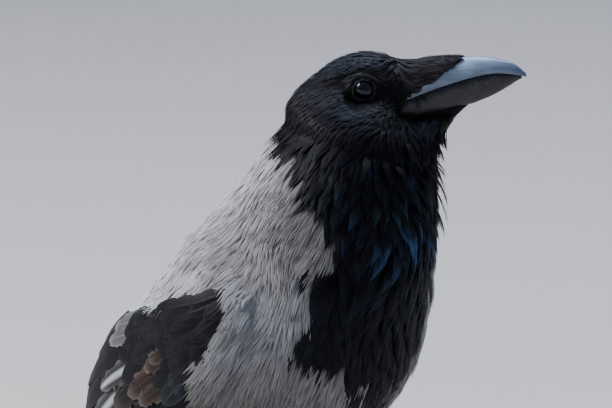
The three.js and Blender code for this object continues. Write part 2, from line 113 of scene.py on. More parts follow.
def between(rows: Array, keys: Array, places: Array) -> Array:
    """Return the columns of rows read off smoothly at the given places.

    Args:
        rows: one row of values for each key.
        keys: rising places of the rows.
        places: where the values are wanted.

    Returns:
        One row of values for each place, by a cubic through the rows that never overshoots much.
    """
    slopes = np.gradient(rows, keys, axis=0)
    spans = np.clip(np.searchsorted(keys, places) - 1, 0, len(keys) - 2)
    width = (keys[spans + 1] - keys[spans])[:, None]
    share = np.clip((places - keys[spans])[:, None] / width, 0.0, 1.0)
    square = share * share
    cube = square * share
    return (
        (2 * cube - 3 * square + 1) * rows[spans]
        + (cube - 2 * square + share) * width * slopes[spans]
        + (3 * square - 2 * cube) * rows[spans + 1]
        + (cube - square) * width * slopes[spans + 1]
    )


# ---------------------------------------------------------------- meshes in and out

def read(items: bpy.types.bpy_prop_collection, title: str, width: int) -> Array:
    """Read one property of a mesh's points, corners or triangles.

    Args:
        items: the points, corners or triangles.
        title: the property's name.
        width: how many numbers each of them has.

    Returns:
        One row of numbers for each of them.
    """
    values = np.empty(len(items) * width, dtype=float if title == "co" else np.int32)
    items.foreach_get(title, values)
    return values.reshape(-1, width)


def node_shape(name: str) -> tuple[Array, Array]:
    """Read a CAD node's shape, with doubled points merged.

    Args:
        name: the node's name.

    Returns:
        Its points in millimetres and its triangles.
    """
    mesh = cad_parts[name].data
    points = read(mesh.vertices, "co", 3) / MM
    mesh.calc_loop_triangles()
    corners = read(mesh.loop_triangles, "vertices", 3)
    _, first, which = np.unique(np.round(points, 3), axis=0, return_index=True, return_inverse=True)
    triangles = which.reshape(-1)[corners]
    good = (triangles != np.roll(triangles, 1, axis=1)).all(axis=1)
    return points[first], triangles[good]


def point_normals(points: Array, triangles: Array) -> Array:
    """Work out a smooth outward normal at each point.

    Args:
        points: the places.
        triangles: rows of three corners.

    Returns:
        One normal for each point.
    """
    a, b, c = (points[triangles[:, corner]] for corner in range(3))
    faces = np.cross(b - a, c - a)
    sums = np.zeros_like(points)
    for corner in triangles.T:
        for axis in range(3):
            sums[:, axis] += np.bincount(corner, weights=faces[:, axis], minlength=len(points))
    return unit(sums)


def add_object(name: str, data: bpy.types.ID) -> bpy.types.Object:
    """Put a mesh, light or camera into the scene.

    Args:
        name: the object's name.
        data: the mesh, light or camera.

    Returns:
        The new object.
    """
    item = bpy.data.objects.new(name, data)
    bpy.context.scene.collection.objects.link(item)
    return item


def write_piece(name: str, points: Array, faces: Array, finishes: tuple[bpy.types.Material, ...],
                nodes: tuple[str, ...] = (), tints: Array | None = None) -> bpy.types.Mesh:
    """Write triangles as one piece that rides on the body.

    Args:
        name: the piece's name.
        points: places in millimetres.
        faces: rows of three corners.
        finishes: its materials.
        nodes: the CAD nodes that it stands for.
        tints: a linear colour for each point.

    Returns:
        The piece's mesh.
    """
    mesh = bpy.data.meshes.new(name)
    mesh.from_pydata((points * MM).tolist(), [], faces.tolist())
    mesh.shade_smooth()
    if tints is not None:
        layer = mesh.attributes.new("tint", "FLOAT_COLOR", "POINT")
        rows = np.column_stack((np.clip(tints, 0, 1), np.ones(len(tints))))
        layer.data.foreach_set("color", rows.astype(np.float32).ravel())
    for finish in finishes:
        mesh.materials.append(finish)
    piece = add_object(name, mesh)
    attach(piece, BODY)
    if nodes:
        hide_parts(*nodes)
    LOG.info("%s: %d triangles", name, len(faces))
    return mesh


@dataclass
class Sheets:
    """Triangles gathered from many small feathers, to be written as one mesh."""

    parts: list[tuple[Array, ...]] = field(default_factory=list)
    count: int = 0

    def add(self, points: Array, faces: Array, tints: Array, barbs: Array, bakes: Array) -> None:
        """Take in one part.

        Args:
            points: places in millimetres.
            faces: rows of three corners, counted from this part's first point.
            tints: a linear colour for each point.
            barbs: millimetres across and along the feather for each point.
            bakes: the place of each point on the bake map.
        """
        self.parts.append((points, faces + self.count, tints, barbs, bakes))
        self.count += len(points)

    def make(self, name: str, finish: bpy.types.Material, slot: str = "black_plumage",
             nodes: tuple[str, ...] = ()) -> None:
        """Write the gathered triangles as one piece.

        Args:
            name: the piece's name.
            finish: its material.
            slot: not used.
            nodes: the CAD nodes that it stands for.
        """
        points, faces, tints, barbs, bakes = (np.concatenate(rows) for rows in zip(*self.parts))
        mesh = write_piece(name, points, faces, (finish,), nodes, tints)
        for title, places in (("OFBake", bakes), ("Barbs", barbs)):
            layer = mesh.uv_layers.new(name=title)
            layer.data.foreach_set("uv", places[faces.ravel()].astype(np.float32).ravel())


# ---------------------------------------------------------------- where things are on the bird

@dataclass
class Axes:
    """A place with three directions of its own."""

    origin: Array
    forward: Array
    left: Array
    up: Array

    def point(self, along: Array, out: Array, above: Array) -> Array:
        """Return the places that lie so far forward, left and up of the origin."""
        along, out, above = (np.asarray(value, dtype=float)[..., None] for value in (along, out, above))
        return self.origin + along * self.forward + out * self.left + above * self.up

    def local(self, points: Array) -> tuple[Array, Array, Array]:
        """Return how far forward, left and up of the origin the points lie."""
        offset = points - self.origin
        return offset @ self.forward, offset @ self.left, offset @ self.up


@dataclass
class Plan:
    """The bird's own landmarks, in the frame of the row."""

    shift: float = 83.53
    head_pitch: float = 12.0
    tail_slope: float = 36.5
    tail_root: tuple[float, float] = (-98.0, 128.0)
    spine: tuple[tuple[float, float], ...] = (
        (-122, 109), (-84, 147), (-45, 191), (-8, 238), (14, 280), (27, 315), (30, 345),
    )
    spine_out: tuple[float, ...] = (0, 0, 0, 0, 1, 7, 10)

    def __post_init__(self) -> None:
        """Work out the axes of the head and tail and the line of the back."""
        boxes = {side: np.array(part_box(f"eye_{side}")) / MM for side in SIDES}
        self.eyes = {side: (low + high) / 2 for side, (low, high) in boxes.items()}
        self.eye_radius = float((boxes["left"][1] - boxes["left"][0])[2] / 2)
        left_eye, right_eye = self.eyes.values()
        left = unit(left_eye - right_eye)
        level = np.cross(left, UP)
        tilt = math.radians(self.head_pitch)
        forward = math.cos(tilt) * level + math.sin(tilt) * UP
        self.head = Axes((left_eye + right_eye) / 2, forward, left, np.cross(forward, left))
        slope = math.radians(self.tail_slope)
        back = -np.array((math.cos(slope), 0.0, math.sin(slope)))
        raised = np.array((-math.sin(slope), 0.0, math.cos(slope)))
        root = np.array((self.tail_root[0] + self.shift, 0.0, self.tail_root[1]))
        self.tail = Axes(root, back, np.array((0.0, 1.0, 0.0)), raised)
        rows = np.array(self.spine)
        self.back = np.column_stack((rows[:, 0] + self.shift, self.spine_out, rows[:, 1]))
        steps = np.linalg.norm(np.diff(self.back, axis=0), axis=1)
        self.reach = np.concatenate(((0.0,), np.cumsum(steps)))

    def eye_gap(self, points: Array) -> Array:
        """Return how far each point is from the nearer eye's centre."""
        return np.min([np.linalg.norm(points - eye, axis=1) for eye in self.eyes.values()], axis=0)

    def along_back(self, points: Array) -> tuple[Array, Array, Array]:
        """Return how far along the line of the back each point is.

        Args:
            points: places in millimetres.

        Returns:
            The distance along the line, the line's direction there, and the offset from the line.
        """
        best = np.full(len(points), 1e9)
        place, way, offset = np.zeros(len(points)), np.zeros_like(points), np.zeros_like(points)
        slopes = unit(np.gradient(self.back, self.reach, axis=0))
        for number in range(len(self.back) - 1):
            start, end = self.back[number], self.back[number + 1]
            length = self.reach[number + 1] - self.reach[number]
            share = ((points - start) @ (end - start)) / length ** 2
            share = np.clip(share, -1.0 if number == 0 else 0.0, 1.0)
            near = start + share[:, None] * (end - start)
            gap = np.linalg.norm(points - near, axis=1)
            closer = gap < best
            best = np.where(closer, gap, best)
            place = np.where(closer, self.reach[number] + share * length, place)
            mixed = slopes[number] + share[:, None] * (slopes[number + 1] - slopes[number])
            way = np.where(closer[:, None], mixed, way)
            offset = np.where(closer[:, None], points - near, offset)
        return place, unit(way), offset


@dataclass
class Fold:
    """The form of one folded wing, from its shoulder back and from its low edge to its high one."""

    plan: Plan
    side: str
    rows: tuple[tuple[float, ...], ...] = (
        (6, 262, 62, 60.5, 56, -18, -8), (-1, 250, 60, 64.5, 60, -22, 2), (-8, 238, 59, 67.5, 62.5, -23, 14),
        (-26, 215, 56, 68, 62.5, -25, 38), (-45, 191, 53, 68.5, 64, -29, 60), (-66, 168, 50, 64, 57, -34, 72),
        (-84, 147, 46, 53, 45, -33, 80), (-104, 128, 42, 41, 31, -24, 84), (-125, 109, 40, 32, 22, -6, 84),
        (-144, 94, 38, 26, 16, 18, 76),
    )
    front: tuple[tuple[float, float], ...] = (
        (0.0, 80), (0.08, 60), (0.12, 46), (0.17, 26), (0.26, 14), (0.38, 10), (0.60, 4), (0.72, 2), (1.0, 5),
    )
    top: tuple[tuple[float, float], ...] = (
        (0, 1.2), (8, 1.05), (27, 1.05), (34, 0.95), (42, 0.87), (48, 0.90), (54, 0.98), (70, 1.1),
    )

    def __post_init__(self) -> None:
        """Work out how far along the wing each row is, and a net of places on it."""
        self.table = np.array(self.rows, dtype=float)
        self.table[:, 0] += self.plan.shift
        steps = np.hypot(np.diff(self.table[:, 0]), np.diff(self.table[:, 1]))
        self.places = np.concatenate(((0.0,), np.cumsum(steps)))
        rows = np.arange(0.0, self.places[-1], 2.0)
        along, around = np.meshgrid(rows, np.linspace(0, 1, 61), indexing="ij")
        self.net = np.column_stack((along.ravel(), around.ravel()))
        self.tree = KDTree(len(self.net))
        for number, place in enumerate(self.surface(along.ravel(), around.ravel()).tolist()):
            self.tree.insert(place, number)
        self.tree.balance()

    def surface(self, along: Array, around: Array) -> Array:
        """Find places on the wing, or past its ends in line with it.

        Args:
            along: how far back along the wing each one is.
            around: the share of the way from the low edge to the high one.

        Returns:
            The places in millimetres.
        """
        held = np.clip(along, 0.0, self.places[-1])
        values = between(self.table, self.places, held)
        pitch = np.radians(values[:, 2])
        angle = np.radians(values[:, 5] + (values[:, 6] - values[:, 5]) * around)
        points = np.column_stack((values[:, 0], np.zeros(len(along)), values[:, 1]))
        points[:, 1] += SIDES[self.side] * values[:, 3] * np.cos(angle)
        raised = np.column_stack((-np.sin(pitch), np.zeros(len(along)), np.cos(pitch)))
        points += raised * (values[:, 4] * np.sin(angle))[:, None]
        beyond = (along - held)[:, None]
        slope = math.radians(38.0)
        tail = np.array((-math.cos(slope), 0.0, -math.sin(slope)))
        front = unit(self.table[0, [0, 1]] - self.table[1, [0, 1]])
        ahead = np.array((-front[0], 0.0, -front[1]))
        return points + np.where(beyond > 0, beyond * tail, beyond * ahead)

    def locate(self, points: Array) -> tuple[Array, Array, Array]:
        """Find the places of the wing that are nearest to points.

        Args:
            points: places in millimetres.

        Returns:
            Each one's place along and round the wing, and how far off the wing it is.
        """
        found = [self.tree.find(place) for place in points.tolist()]
        places = self.net[np.array([hit[1] for hit in found])]
        return places[:, 0], places[:, 1], np.array([hit[2] for hit in found])

    def covered(self, along: Array, around: Array) -> Array:
        """Return where the body's own grey feathers lie over the wing's front and top."""
        ahead = along < np.interp(around, *np.array(self.front).T)
        return ahead | (around > np.interp(along, *np.array(self.top).T))


class Region(IntEnum):
    """The parts of the body that are dressed in their own way."""

    HEAD = 0
    NECK = 1
    TRUNK = 2
    WING_LEFT = 3
    WING_RIGHT = 4
    THIGH = 5
    SHANK = 6
    TOE = 7
    BILL = 8
    EYE = 9


WINGS = (Region.WING_LEFT, Region.WING_RIGHT)
LEGS = (Region.SHANK, Region.TOE)


def region_of(name: str) -> Region | None:
    """Return the region that a node belongs to, or None where it is no flesh."""
    return next((region for region in Region if name.startswith(region.name.lower())), None)


@dataclass(frozen=True)
class Marking:
    """Where the black hood, bib and thighs end and the ash grey begins."""

    plan: Plan
    edge: tuple[tuple[float, float], ...] = (
        (185, 0), (196, 4), (209, 12), (217, 20), (224, 32), (235, 41), (258, 46), (266, 50), (268, 39),
        (275, 36), (290, 55), (299, 76), (305, 88), (311, 100), (314, 125), (316, 160), (318, 180),
        (345, 180),
    )
    axis: tuple[tuple[float, float], ...] = (
        (129, -15.5), (191, 39.5), (215, 57.5), (238, 76), (260, 88), (280, 98), (301, 107), (315, 111),
        (328, 113), (345, 113),
    )
    far_share: float = 0.6

    def around(self, points: Array) -> Array:
        """Return how many degrees round the body from the middle of the breast each point is."""
        heights, middles = np.array(self.axis).T
        return np.degrees(np.arctan2(points[:, 1], points[:, 0] - np.interp(points[:, 2], heights, middles)))

    def inside(self, points: Array) -> Array:
        """Find out on which side of the black area's edge points are.

        Args:
            points: places in millimetres.

        Returns:
            How many degrees inside the black each one is, less than 0 in the grey.
        """
        levels, angles = np.array(self.edge).T
        share = self.far_share + (1 - self.far_share) * smoothstep(points[:, 2], 250, 290)
        limit = np.interp(points[:, 2], levels, angles) * np.where(points[:, 1] > 0, share, 1.0)
        return np.where(points[:, 2] < levels[0], -90.0, limit - np.abs(self.around(points)))

    def grey_tone(self, points: Array) -> Array:
        """Tone the ash grey, with painted light and shade: pale and cool on the back, dark and brown below.

        Args:
            points: places in millimetres.

        Returns:
            The red, green and blue share of the grey at each one.
        """
        back = smoothstep(np.abs(self.around(points)), 60, 150)
        low = (1 - smoothstep(points[:, 2], 192, 258)) * (1 - back)
        nape = smoothstep(points[:, 2], 262, 296)
        # painted light and shade: the back is lightened as if lit from above, the low flank and the nape
        # darkened as if in shade
        tone = 0.58 + 0.74 * back - 0.32 * low - 0.20 * nape * (1 - 0.35 * back)
        tone = tone * (1 + 0.10 * ripple(points, 30.0, 51) + 0.06 * ripple(points, 11.0, 52))
        # painted light: warm browns the shaded low flank, cold cools the sky-lit upper grey
        warm, cold = np.array((0.08, 0.0, -0.10)), np.array((-0.04, 0.0, 0.05))
        return tone[:, None] * (1.0 + warm * (low + 0.4 * nape)[:, None] + cold * (1 - low)[:, None])


# ---------------------------------------------------------------- the skin

@dataclass
class Skin:
    """One closed skin under all the feathers, with bare legs, folds and lids in it."""

    plan: Plan
    marking: Marking
    voxel: float = 1.4
    swell: float = 0.45
    rounds: int = 90
    depths: tuple[float, ...] = (1.5, 3.8, 4.6, 1.6, 1.6, 3.0, 0.45, 0.45, 0.8, 0.8)  # by Region
    softness: tuple[float, ...] = (0.09, 0.5, 0.5, 0.3, 0.3, 0.5, 0.015, 0.015, 0.05, 0.05)  # by Region
    scute: float = 4.4
    toe_scute: float = 2.5
    points: Array = field(init=False)
    triangles: Array = field(init=False)
    normals: Array = field(init=False)
    regions: Array = field(init=False)
    flow: Array = field(init=False)

    def build(self) -> None:
        """Make the skin's points, triangles, regions and the lie of the feathers on it."""
        self._gather()
        points, quads = self._remesh()
        regions = self._regions(points)
        pairs = self._pairs(quads)
        weight = self._spread(np.array(self.softness)[regions][:, None], pairs, 8, 0.5)[:, 0]
        points = self._spread(points.copy(), pairs, self.rounds, weight)
        points = self._sink(points, quads, pairs, regions)
        points = self._tuck_bill(points, regions)
        self._refine(points, quads)
        self.regions = self._regions(self.points)
        self._name_pad()
        self._name_wings()
        self._shape_eyes()
        self._shape_legs()
        self.points[:, 2] = np.maximum(self.points[:, 2], 0.0)
        self.normals = point_normals(self.points, self.triangles)
        self._lay()

    def _gather(self) -> None:
        """Read the flesh from the frame, with the region of each of its triangles."""
        points, triangles, regions, count = [], [], [], 0
        for name in sorted(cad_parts):
            region = region_of(name)
            if region is None:
                continue
            places, faces = node_shape(name)
            points.append(places + point_normals(places, faces) * self.swell)
            triangles.append(faces + count)
            regions.append(np.full(len(faces), int(region)))
            count += len(places)
        self.solid_points = np.concatenate(points)
        self.solid_triangles = np.concatenate(triangles)
        self.solid_regions = np.concatenate(regions)
        self.solid_tree = BVHTree.FromPolygons(self.solid_points.tolist(), self.solid_triangles.tolist())

    def _regions(self, points: Array) -> Array:
        """Return the region of the nearest flesh for each point."""
        nearest = [self.solid_tree.find_nearest(place)[2] for place in points.tolist()]
        return self.solid_regions[np.array(nearest)]

    def _remesh(self) -> tuple[Array, Array]:
        """Make one even mesh round all the flesh.

        Returns:
            Its points and its four-cornered faces.
        """
        mesh = bpy.data.meshes.new("flesh")
        mesh.from_pydata((self.solid_points * MM).tolist(), [], self.solid_triangles.tolist())
        holder = add_object("flesh", mesh)
        modifier = holder.modifiers.new("even", "REMESH")
        modifier.mode = "VOXEL"
        modifier.voxel_size = self.voxel * MM
        result = holder.evaluated_get(bpy.context.evaluated_depsgraph_get()).to_mesh()
        places, corners = read(result.vertices, "co", 3) / MM, read(result.loops, "vertex_index", 1)
        bpy.data.objects.remove(holder)
        bpy.data.meshes.remove(mesh)
        return places, corners.reshape(-1, 4)

    @staticmethod
    def _pairs(faces: Array) -> Array:
        """Pair up neighbouring points.

        Args:
            faces: rows of corners.

        Returns:
            Each pair of neighbours, once in each direction.
        """
        corners = faces.shape[1]
        sides = np.concatenate([faces[:, [a, (a + 1) % corners]] for a in range(corners)])
        sides = np.unique(np.sort(sides, axis=1), axis=0)
        return np.concatenate((sides, sides[:, ::-1]))

    @staticmethod
    def _spread(values: Array, pairs: Array, count: int, shares: Array | float) -> Array:
        """Move values towards the mean of their neighbours, in place.

        Args:
            values: one row for each point.
            pairs: the neighbouring points.
            count: how many rounds there are.
            shares: how far each value moves in a round.

        Returns:
            The values after the last round.
        """
        ends = np.maximum(np.bincount(pairs[:, 0], minlength=len(values)), 1)
        for _ in range(count):
            for axis in range(values.shape[1]):
                sums = np.bincount(pairs[:, 0], weights=values[pairs[:, 1], axis], minlength=len(values))
                mean = sums / ends
                values[:, axis] += shares * (mean - values[:, axis])
        return values

    def _sink(self, points: Array, quads: Array, pairs: Array, regions: Array) -> Array:
        """Move the points inwards by the depth of the feathers over them.

        Args:
            points: the places.
            quads: the faces.
            pairs: the neighbouring points.
            regions: each point's region.

        Returns:
            The points where the skin is.
        """
        depth = np.array(self.depths)[regions]
        along, _, above = self.plan.head.local(points)
        head = regions == Region.HEAD
        depth = np.where(head & (along > 14) & (above > -16), self.depths[Region.BILL], depth)
        depth = np.where(head & (np.abs(along) < 15) & (above > 7), 0.5, depth)
        thigh = 1.0 + (self.depths[Region.THIGH] - 1.0) * smoothstep(points[:, 2], 80, 104)
        depth = np.where(regions == Region.THIGH, thigh, depth)
        depth = self._spread(depth[:, None], pairs, 10, 0.5)[:, 0]
        depth = np.where(np.isin(regions, LEGS), np.minimum(depth, self.swell), depth)
        faces = np.concatenate((quads[:, [0, 1, 2]], quads[:, [0, 2, 3]]))
        normals = point_normals(points, faces)
        for _ in range(4):
            points = points - normals * depth[:, None] / 4
            normals = point_normals(points, faces)
        return points

    def _tuck_bill(self, points: Array, regions: Array) -> Array:
        """Draw the points along the bill well inside it.

        Args:
            points: the places.
            regions: each point's region.

        Returns:
            The points with the bill's own drawn in.
        """
        along, out, above = self.plan.head.local(points)
        share = smoothstep(along, 16, 24) * (regions == Region.BILL)
        short = np.where(along > 20, 20 + (along - 20) * 0.62, along)
        drawn = self.plan.head.point(short, out * 0.5, -8 - 0.08 * (short - 20) + (above + 8) * 0.45)
        points = points + share[:, None] * (drawn - points)
        along, out, above = self.plan.head.local(points)
        bare = 1 - smoothstep(above - self.feather_line(along), -1.6, 0.6)
        bare *= smoothstep(along - self.gape(above), -1.2, 1.6)
        bare *= smoothstep(above, -22.8, -21.2) * (along < 36)
        limit = np.interp(along, (12, 17, 20, 25, 30, 40), (12.4, 11.2, 10.2, 8.9, 7.8, 6.6)) - 1.2
        limit = limit * np.sqrt(np.clip(1 - (np.minimum(above + 9.0, 0) / 13.0) ** 2, 0.12, 1.0))
        narrow = np.sign(out) * np.minimum(np.abs(out), limit)
        drawn = self.plan.head.point(along, narrow, above)
        return points + bare[:, None] * (drawn - points)

    @staticmethod
    def feather_line(along: Array) -> Array:
        """Return how high on the bill's side the bristles end, so far forward on the head."""
        return np.interp(along, (12, 16, 20.9, 30, 40, 46.2), (-9.6, -8.8, -6.8, -4.6, -2.8, -1.5))

    @staticmethod
    def gape(above: Array) -> Array:
        """Return how far forward on the head the cheek's feathers end, so high on the bill's side."""
        return np.interp(above, (-23, -21, -16, -9.5), (24.0, 19.0, 12.5, 16.0))

    def _name_pad(self) -> None:
        """Count the bristle pad over the bill as part of the head."""
        along, out, above = self.plan.head.local(self.points)
        round_bill = (out / np.interp(along, (12, 30, 47), (10, 7.8, 6))) ** 2 + ((above + 8) / 12.4) ** 2
        pad = (above > self.feather_line(along) - 0.4) & (round_bill > 0.62) & (along < 48)
        self.regions[pad & (self.regions == Region.BILL)] = Region.HEAD

    def _name_wings(self) -> None:
        """Count the wings' front and top as part of the body where its feathers lie over them."""
        for side, region in zip(SIDES, WINGS):
            fold = Fold(self.plan, side)
            near = np.flatnonzero((self.regions == region) | (self.regions == Region.TRUNK))
            along, around, gap = fold.locate(self.points[near])
            covered = fold.covered(along, around)
            wing = self.regions[near] == region
            self.regions[near[wing & covered]] = Region.TRUNK
            edge = (gap < 4.2) | ((around > 0.98) & (gap < 5.5) & (along > 6) & (along < 28))
            edge &= ~wing & ~covered & (around > 0.15) & ((along < 90) | (around < 0.9))
            self.regions[near[edge]] = region

    def _refine(self, points: Array, quads: Array) -> None:
        """Keep the mesh with finer faces round the eyes and on the bare legs.

        Args:
            points: the skin's places.
            quads: its faces.
        """
        mesh = bpy.data.meshes.new("skin_draft")
        mesh.from_pydata(points.tolist(), [], quads.tolist())
        work = bmesh.new()
        work.from_mesh(mesh)
        eyes = [Vector(self.plan.eyes[side]) for side in SIDES]
        feet = max(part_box(f"shank_{side}")[1].z for side in SIDES) / MM - 3.0
        for reach, legs in ((13.0, True), (9.5, False)):
            near = {
                corner.index for corner in work.verts
                if min((corner.co - eye).length for eye in eyes) < reach or (legs and corner.co.z < feet)
            }
            edges = [edge for edge in work.edges if all(end.index in near for end in edge.verts)]
            bmesh.ops.subdivide_edges(work, edges=edges, cuts=1, use_grid_fill=True)
            work.verts.index_update()
        bmesh.ops.triangulate(work, faces=work.faces[:])
        work.to_mesh(mesh)
        work.free()
        self.points = read(mesh.vertices, "co", 3)
        self.triangles = read(mesh.loops, "vertex_index", 1).reshape(-1, 3)
        bpy.data.meshes.remove(mesh)
        self.pairs = self._pairs(self.triangles)
        fine = (self.points[:, 2] < feet) | (self.plan.eye_gap(self.points) < 13)
        self.points = self._spread(self.points, self.pairs, 3, 0.35 * fine)

    def _shape_eyes(self) -> None:
        """Fold the skin into two lids over each eyeball, with a soft groove round them."""
        for side, sign in SIDES.items():
            offset = self.points - self.plan.eyes[side]
            axis = self.plan.head.left * sign
            height = offset @ axis
            flat = offset - height[:, None] * axis
            forward = flat @ self.plan.head.forward
            above = flat @ self.plan.head.up
            around = np.hypot(forward, above * 1.09 + 0.1 * np.abs(forward))
            ball = np.sqrt(np.maximum(self.plan.eye_radius ** 2 - around ** 2, 0)) - 1.1
            profile = np.interp(around, (0, 4.2, 4.45, 4.65, 4.95, 5.35, 5.9, 7.2, 9.0, 11.5),
                                (0, 0, 4.3, 4.90, 5.05, 4.65, 4.4, 4.5, 4.0, 3.1))
            profile = np.where(around < 4.25, ball, profile)
            creases = 0.10 * np.sin((around - 5.1) * 2 * math.pi / 0.9) * smoothstep(around, 5.0, 5.4)
            profile = profile + creases * (1 - smoothstep(around, 6.6, 7.6))
            share = (1 - smoothstep(around, 6.2, 11.0)) * (height > 0)
            self.points += (share * (profile - height))[:, None] * axis

    def _shape_legs(self) -> None:
        """Cut the overlapping scutes down the shanks' fronts and the toes' tops."""
        normals = point_normals(self.points, self.triangles)
        shank = self.regions == Region.SHANK
        toe = self.regions == Region.TOE
        phase = np.mod(self.points[:, 2] / self.scute, 1.0)
        front = smoothstep(normals[:, 0], 0.1, 0.5)
        step = (0.22 * (1 - phase) - 0.16 * np.exp(-((1 - phase) * self.scute / 0.5) ** 2)) * front * shank
        ankle_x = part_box("shank_left")[1].x / MM
        along = np.hypot(self.points[:, 0] - ankle_x, np.abs(self.points[:, 1]) - 30.0)
        phase = np.mod(along / self.toe_scute, 1.0)
        top = smoothstep(normals[:, 2], 0.15, 0.6)
        step += (0.24 * phase - 0.14 * np.exp(-(phase * self.toe_scute / 0.4) ** 2)) * top * toe
        grain = 0.05 * ripple(self.points, 1.6, 11) * (shank | toe)
        self.points += (step + grain)[:, None] * normals

    def _lay(self) -> None:
        """Set the direction in which the feathers lie at each point of the skin."""
        points = self.points
        _, way, _ = self.plan.along_back(points)
        flow = -way
        along, out, above = self.plan.head.local(points)
        head = self.plan.head
        drop = 0.32 + 1.7 * (1 - smoothstep(above, -34, -8)) + 0.9 * smoothstep(along, 8, 22)
        swept = -head.forward - drop[:, None] * head.up + 0.12 * np.sign(out)[:, None] * head.left
        near = np.linalg.norm(points - head.origin, axis=1) < 75
        share = (smoothstep(above, -52, -26) * near)[:, None]
        flow = flow * (1 - share) + unit(swept) * share
        bristle = smoothstep(along, 14.5, 18.5) * smoothstep(above - self.feather_line(along), -4.0, -0.5)
        bristle = bristle * (self.regions == Region.HEAD)
        forward = head.forward + 0.25 * head.up * smoothstep(-above, 2, 8)[:, None]
        forward = forward - 0.18 * smoothstep(above, 0, 5)[:, None] * head.up
        flow = flow * (1 - bristle[:, None]) + unit(forward) * bristle[:, None]
        thigh = (self.regions == Region.THIGH)[:, None]
        flow = np.where(thigh, np.array((-0.2, 0.0, -1.0)), flow)
        normals = self.normals
        flow = unit(flow - dot(flow, normals) * normals)
        shoulder = smoothstep(points[:, 2], 220, 262) * (1 - smoothstep(points[:, 2], 285, 305))
        swirl = np.radians(9.0 + 14.0 * shoulder)
        turn = swirl * ripple(points, 34.0, 5) * (self.plan.eye_gap(points) > 26)
        flow = flow * np.cos(turn)[:, None] + np.cross(normals, flow) * np.sin(turn)[:, None]
        flow = self._spread(flow, self.pairs, 12, 0.5)
        self.flow = unit(flow - dot(flow, normals) * normals)

    def tints(self) -> Array:
        """Colour the skin with the same markings as the feathers.

        Returns:
            A linear colour for each point.
        """
        black, grey, leg, lid = linear(0x0B0B0C), linear(0x94969A), linear(0x1B1B1D), linear(0x222A31)
        inside = smoothstep(self.marking.inside(self.points), -4.0, 4.0)
        body = (self.regions == Region.TRUNK) | (self.regions == Region.NECK)
        share = np.where(body, inside, 1.0)[:, None]
        shades = grey + (black - grey) * share
        shades = np.where((self.regions == Region.HEAD)[:, None], linear(0x060606), shades)
        legs = np.isin(self.regions, LEGS)[:, None]
        shades = np.where(legs, leg * (1 + 0.25 * ripple(self.points, 4.0, 3))[:, None], shades)
        for side, sign in SIDES.items():
            offset = self.points - self.plan.eyes[side]
            height = offset @ (self.plan.head.left * sign)
            around = np.sqrt(np.maximum((offset ** 2).sum(1) - height ** 2, 0))
            ring = (around < 5.5) & (height > 0)
            shades = np.where(ring[:, None], lid, shades)
        return shades

    def dress(self, finish: bpy.types.Material, leg: bpy.types.Material) -> None:
        """Write the skin as one piece that stands for all the flesh.

        Args:
            finish: the skin under the feathers.
            leg: the bare, scaled skin of the legs and toes.
        """
        flesh = [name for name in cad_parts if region_of(name) not in (None, Region.BILL, Region.EYE)]
        mesh = write_piece("skin", self.points, self.triangles, (finish, leg), tuple(flesh),
                           self.tints())
        bare = np.isin(self.regions, LEGS)[self.triangles].all(axis=1)
        mesh.polygons.foreach_set("material_index", bare.astype(np.int32))


# ---------------------------------------------------------------- finishes

def add_node(tree: bpy.types.NodeTree, kind: str, settings: dict | None = None,
             links: dict | None = None) -> bpy.types.Node:
    """Add one node to a material or world.

    Args:
        tree: the node tree.
        kind: the node's type name.
        settings: values for its properties, or for its input sockets by name or number.
        links: output sockets to join to its input sockets, by the input's name or number.

    Returns:
        The new node.
    """
    node = tree.nodes.new(kind)
    for key, value in (settings or {}).items():
        if isinstance(key, str) and hasattr(node, key):
            setattr(node, key, value)
        else:
            node.inputs[key].default_value = value
    for key, source in (links or {}).items():
        tree.links.new(source, node.inputs[key])
    return node


@dataclass(frozen=True)
class Finish:
    """The values that every finish of this bird has on its shader."""

    name: str
    roughness: float
    ior: float = 1.54
    specular: float = 0.5
    specular_tint: int = 0xFFFFFF
    sheen: float = 0.0
    coat: float = 0.0
    coat_roughness: float = 0.1

    def start(self) -> tuple[bpy.types.Material, bpy.types.NodeTree, bpy.types.Node]:
        """Begin a material at this finish's values.

        Returns:
            The material, its node tree and its shader.
        """
        material = bpy.data.materials.new(self.name)
        material.use_nodes = True
        tree = material.node_tree
        shader = tree.nodes["Principled BSDF"]
        values = {
            "Roughness": self.roughness, "IOR": self.ior, "Specular IOR Level": self.specular,
            "Specular Tint": colour(self.specular_tint), "Sheen Weight": self.sheen,
            "Coat Weight": self.coat, "Coat Roughness": self.coat_roughness,
        }
        for socket, value in values.items():
            shader.inputs[socket].default_value = value
        return material, tree, shader


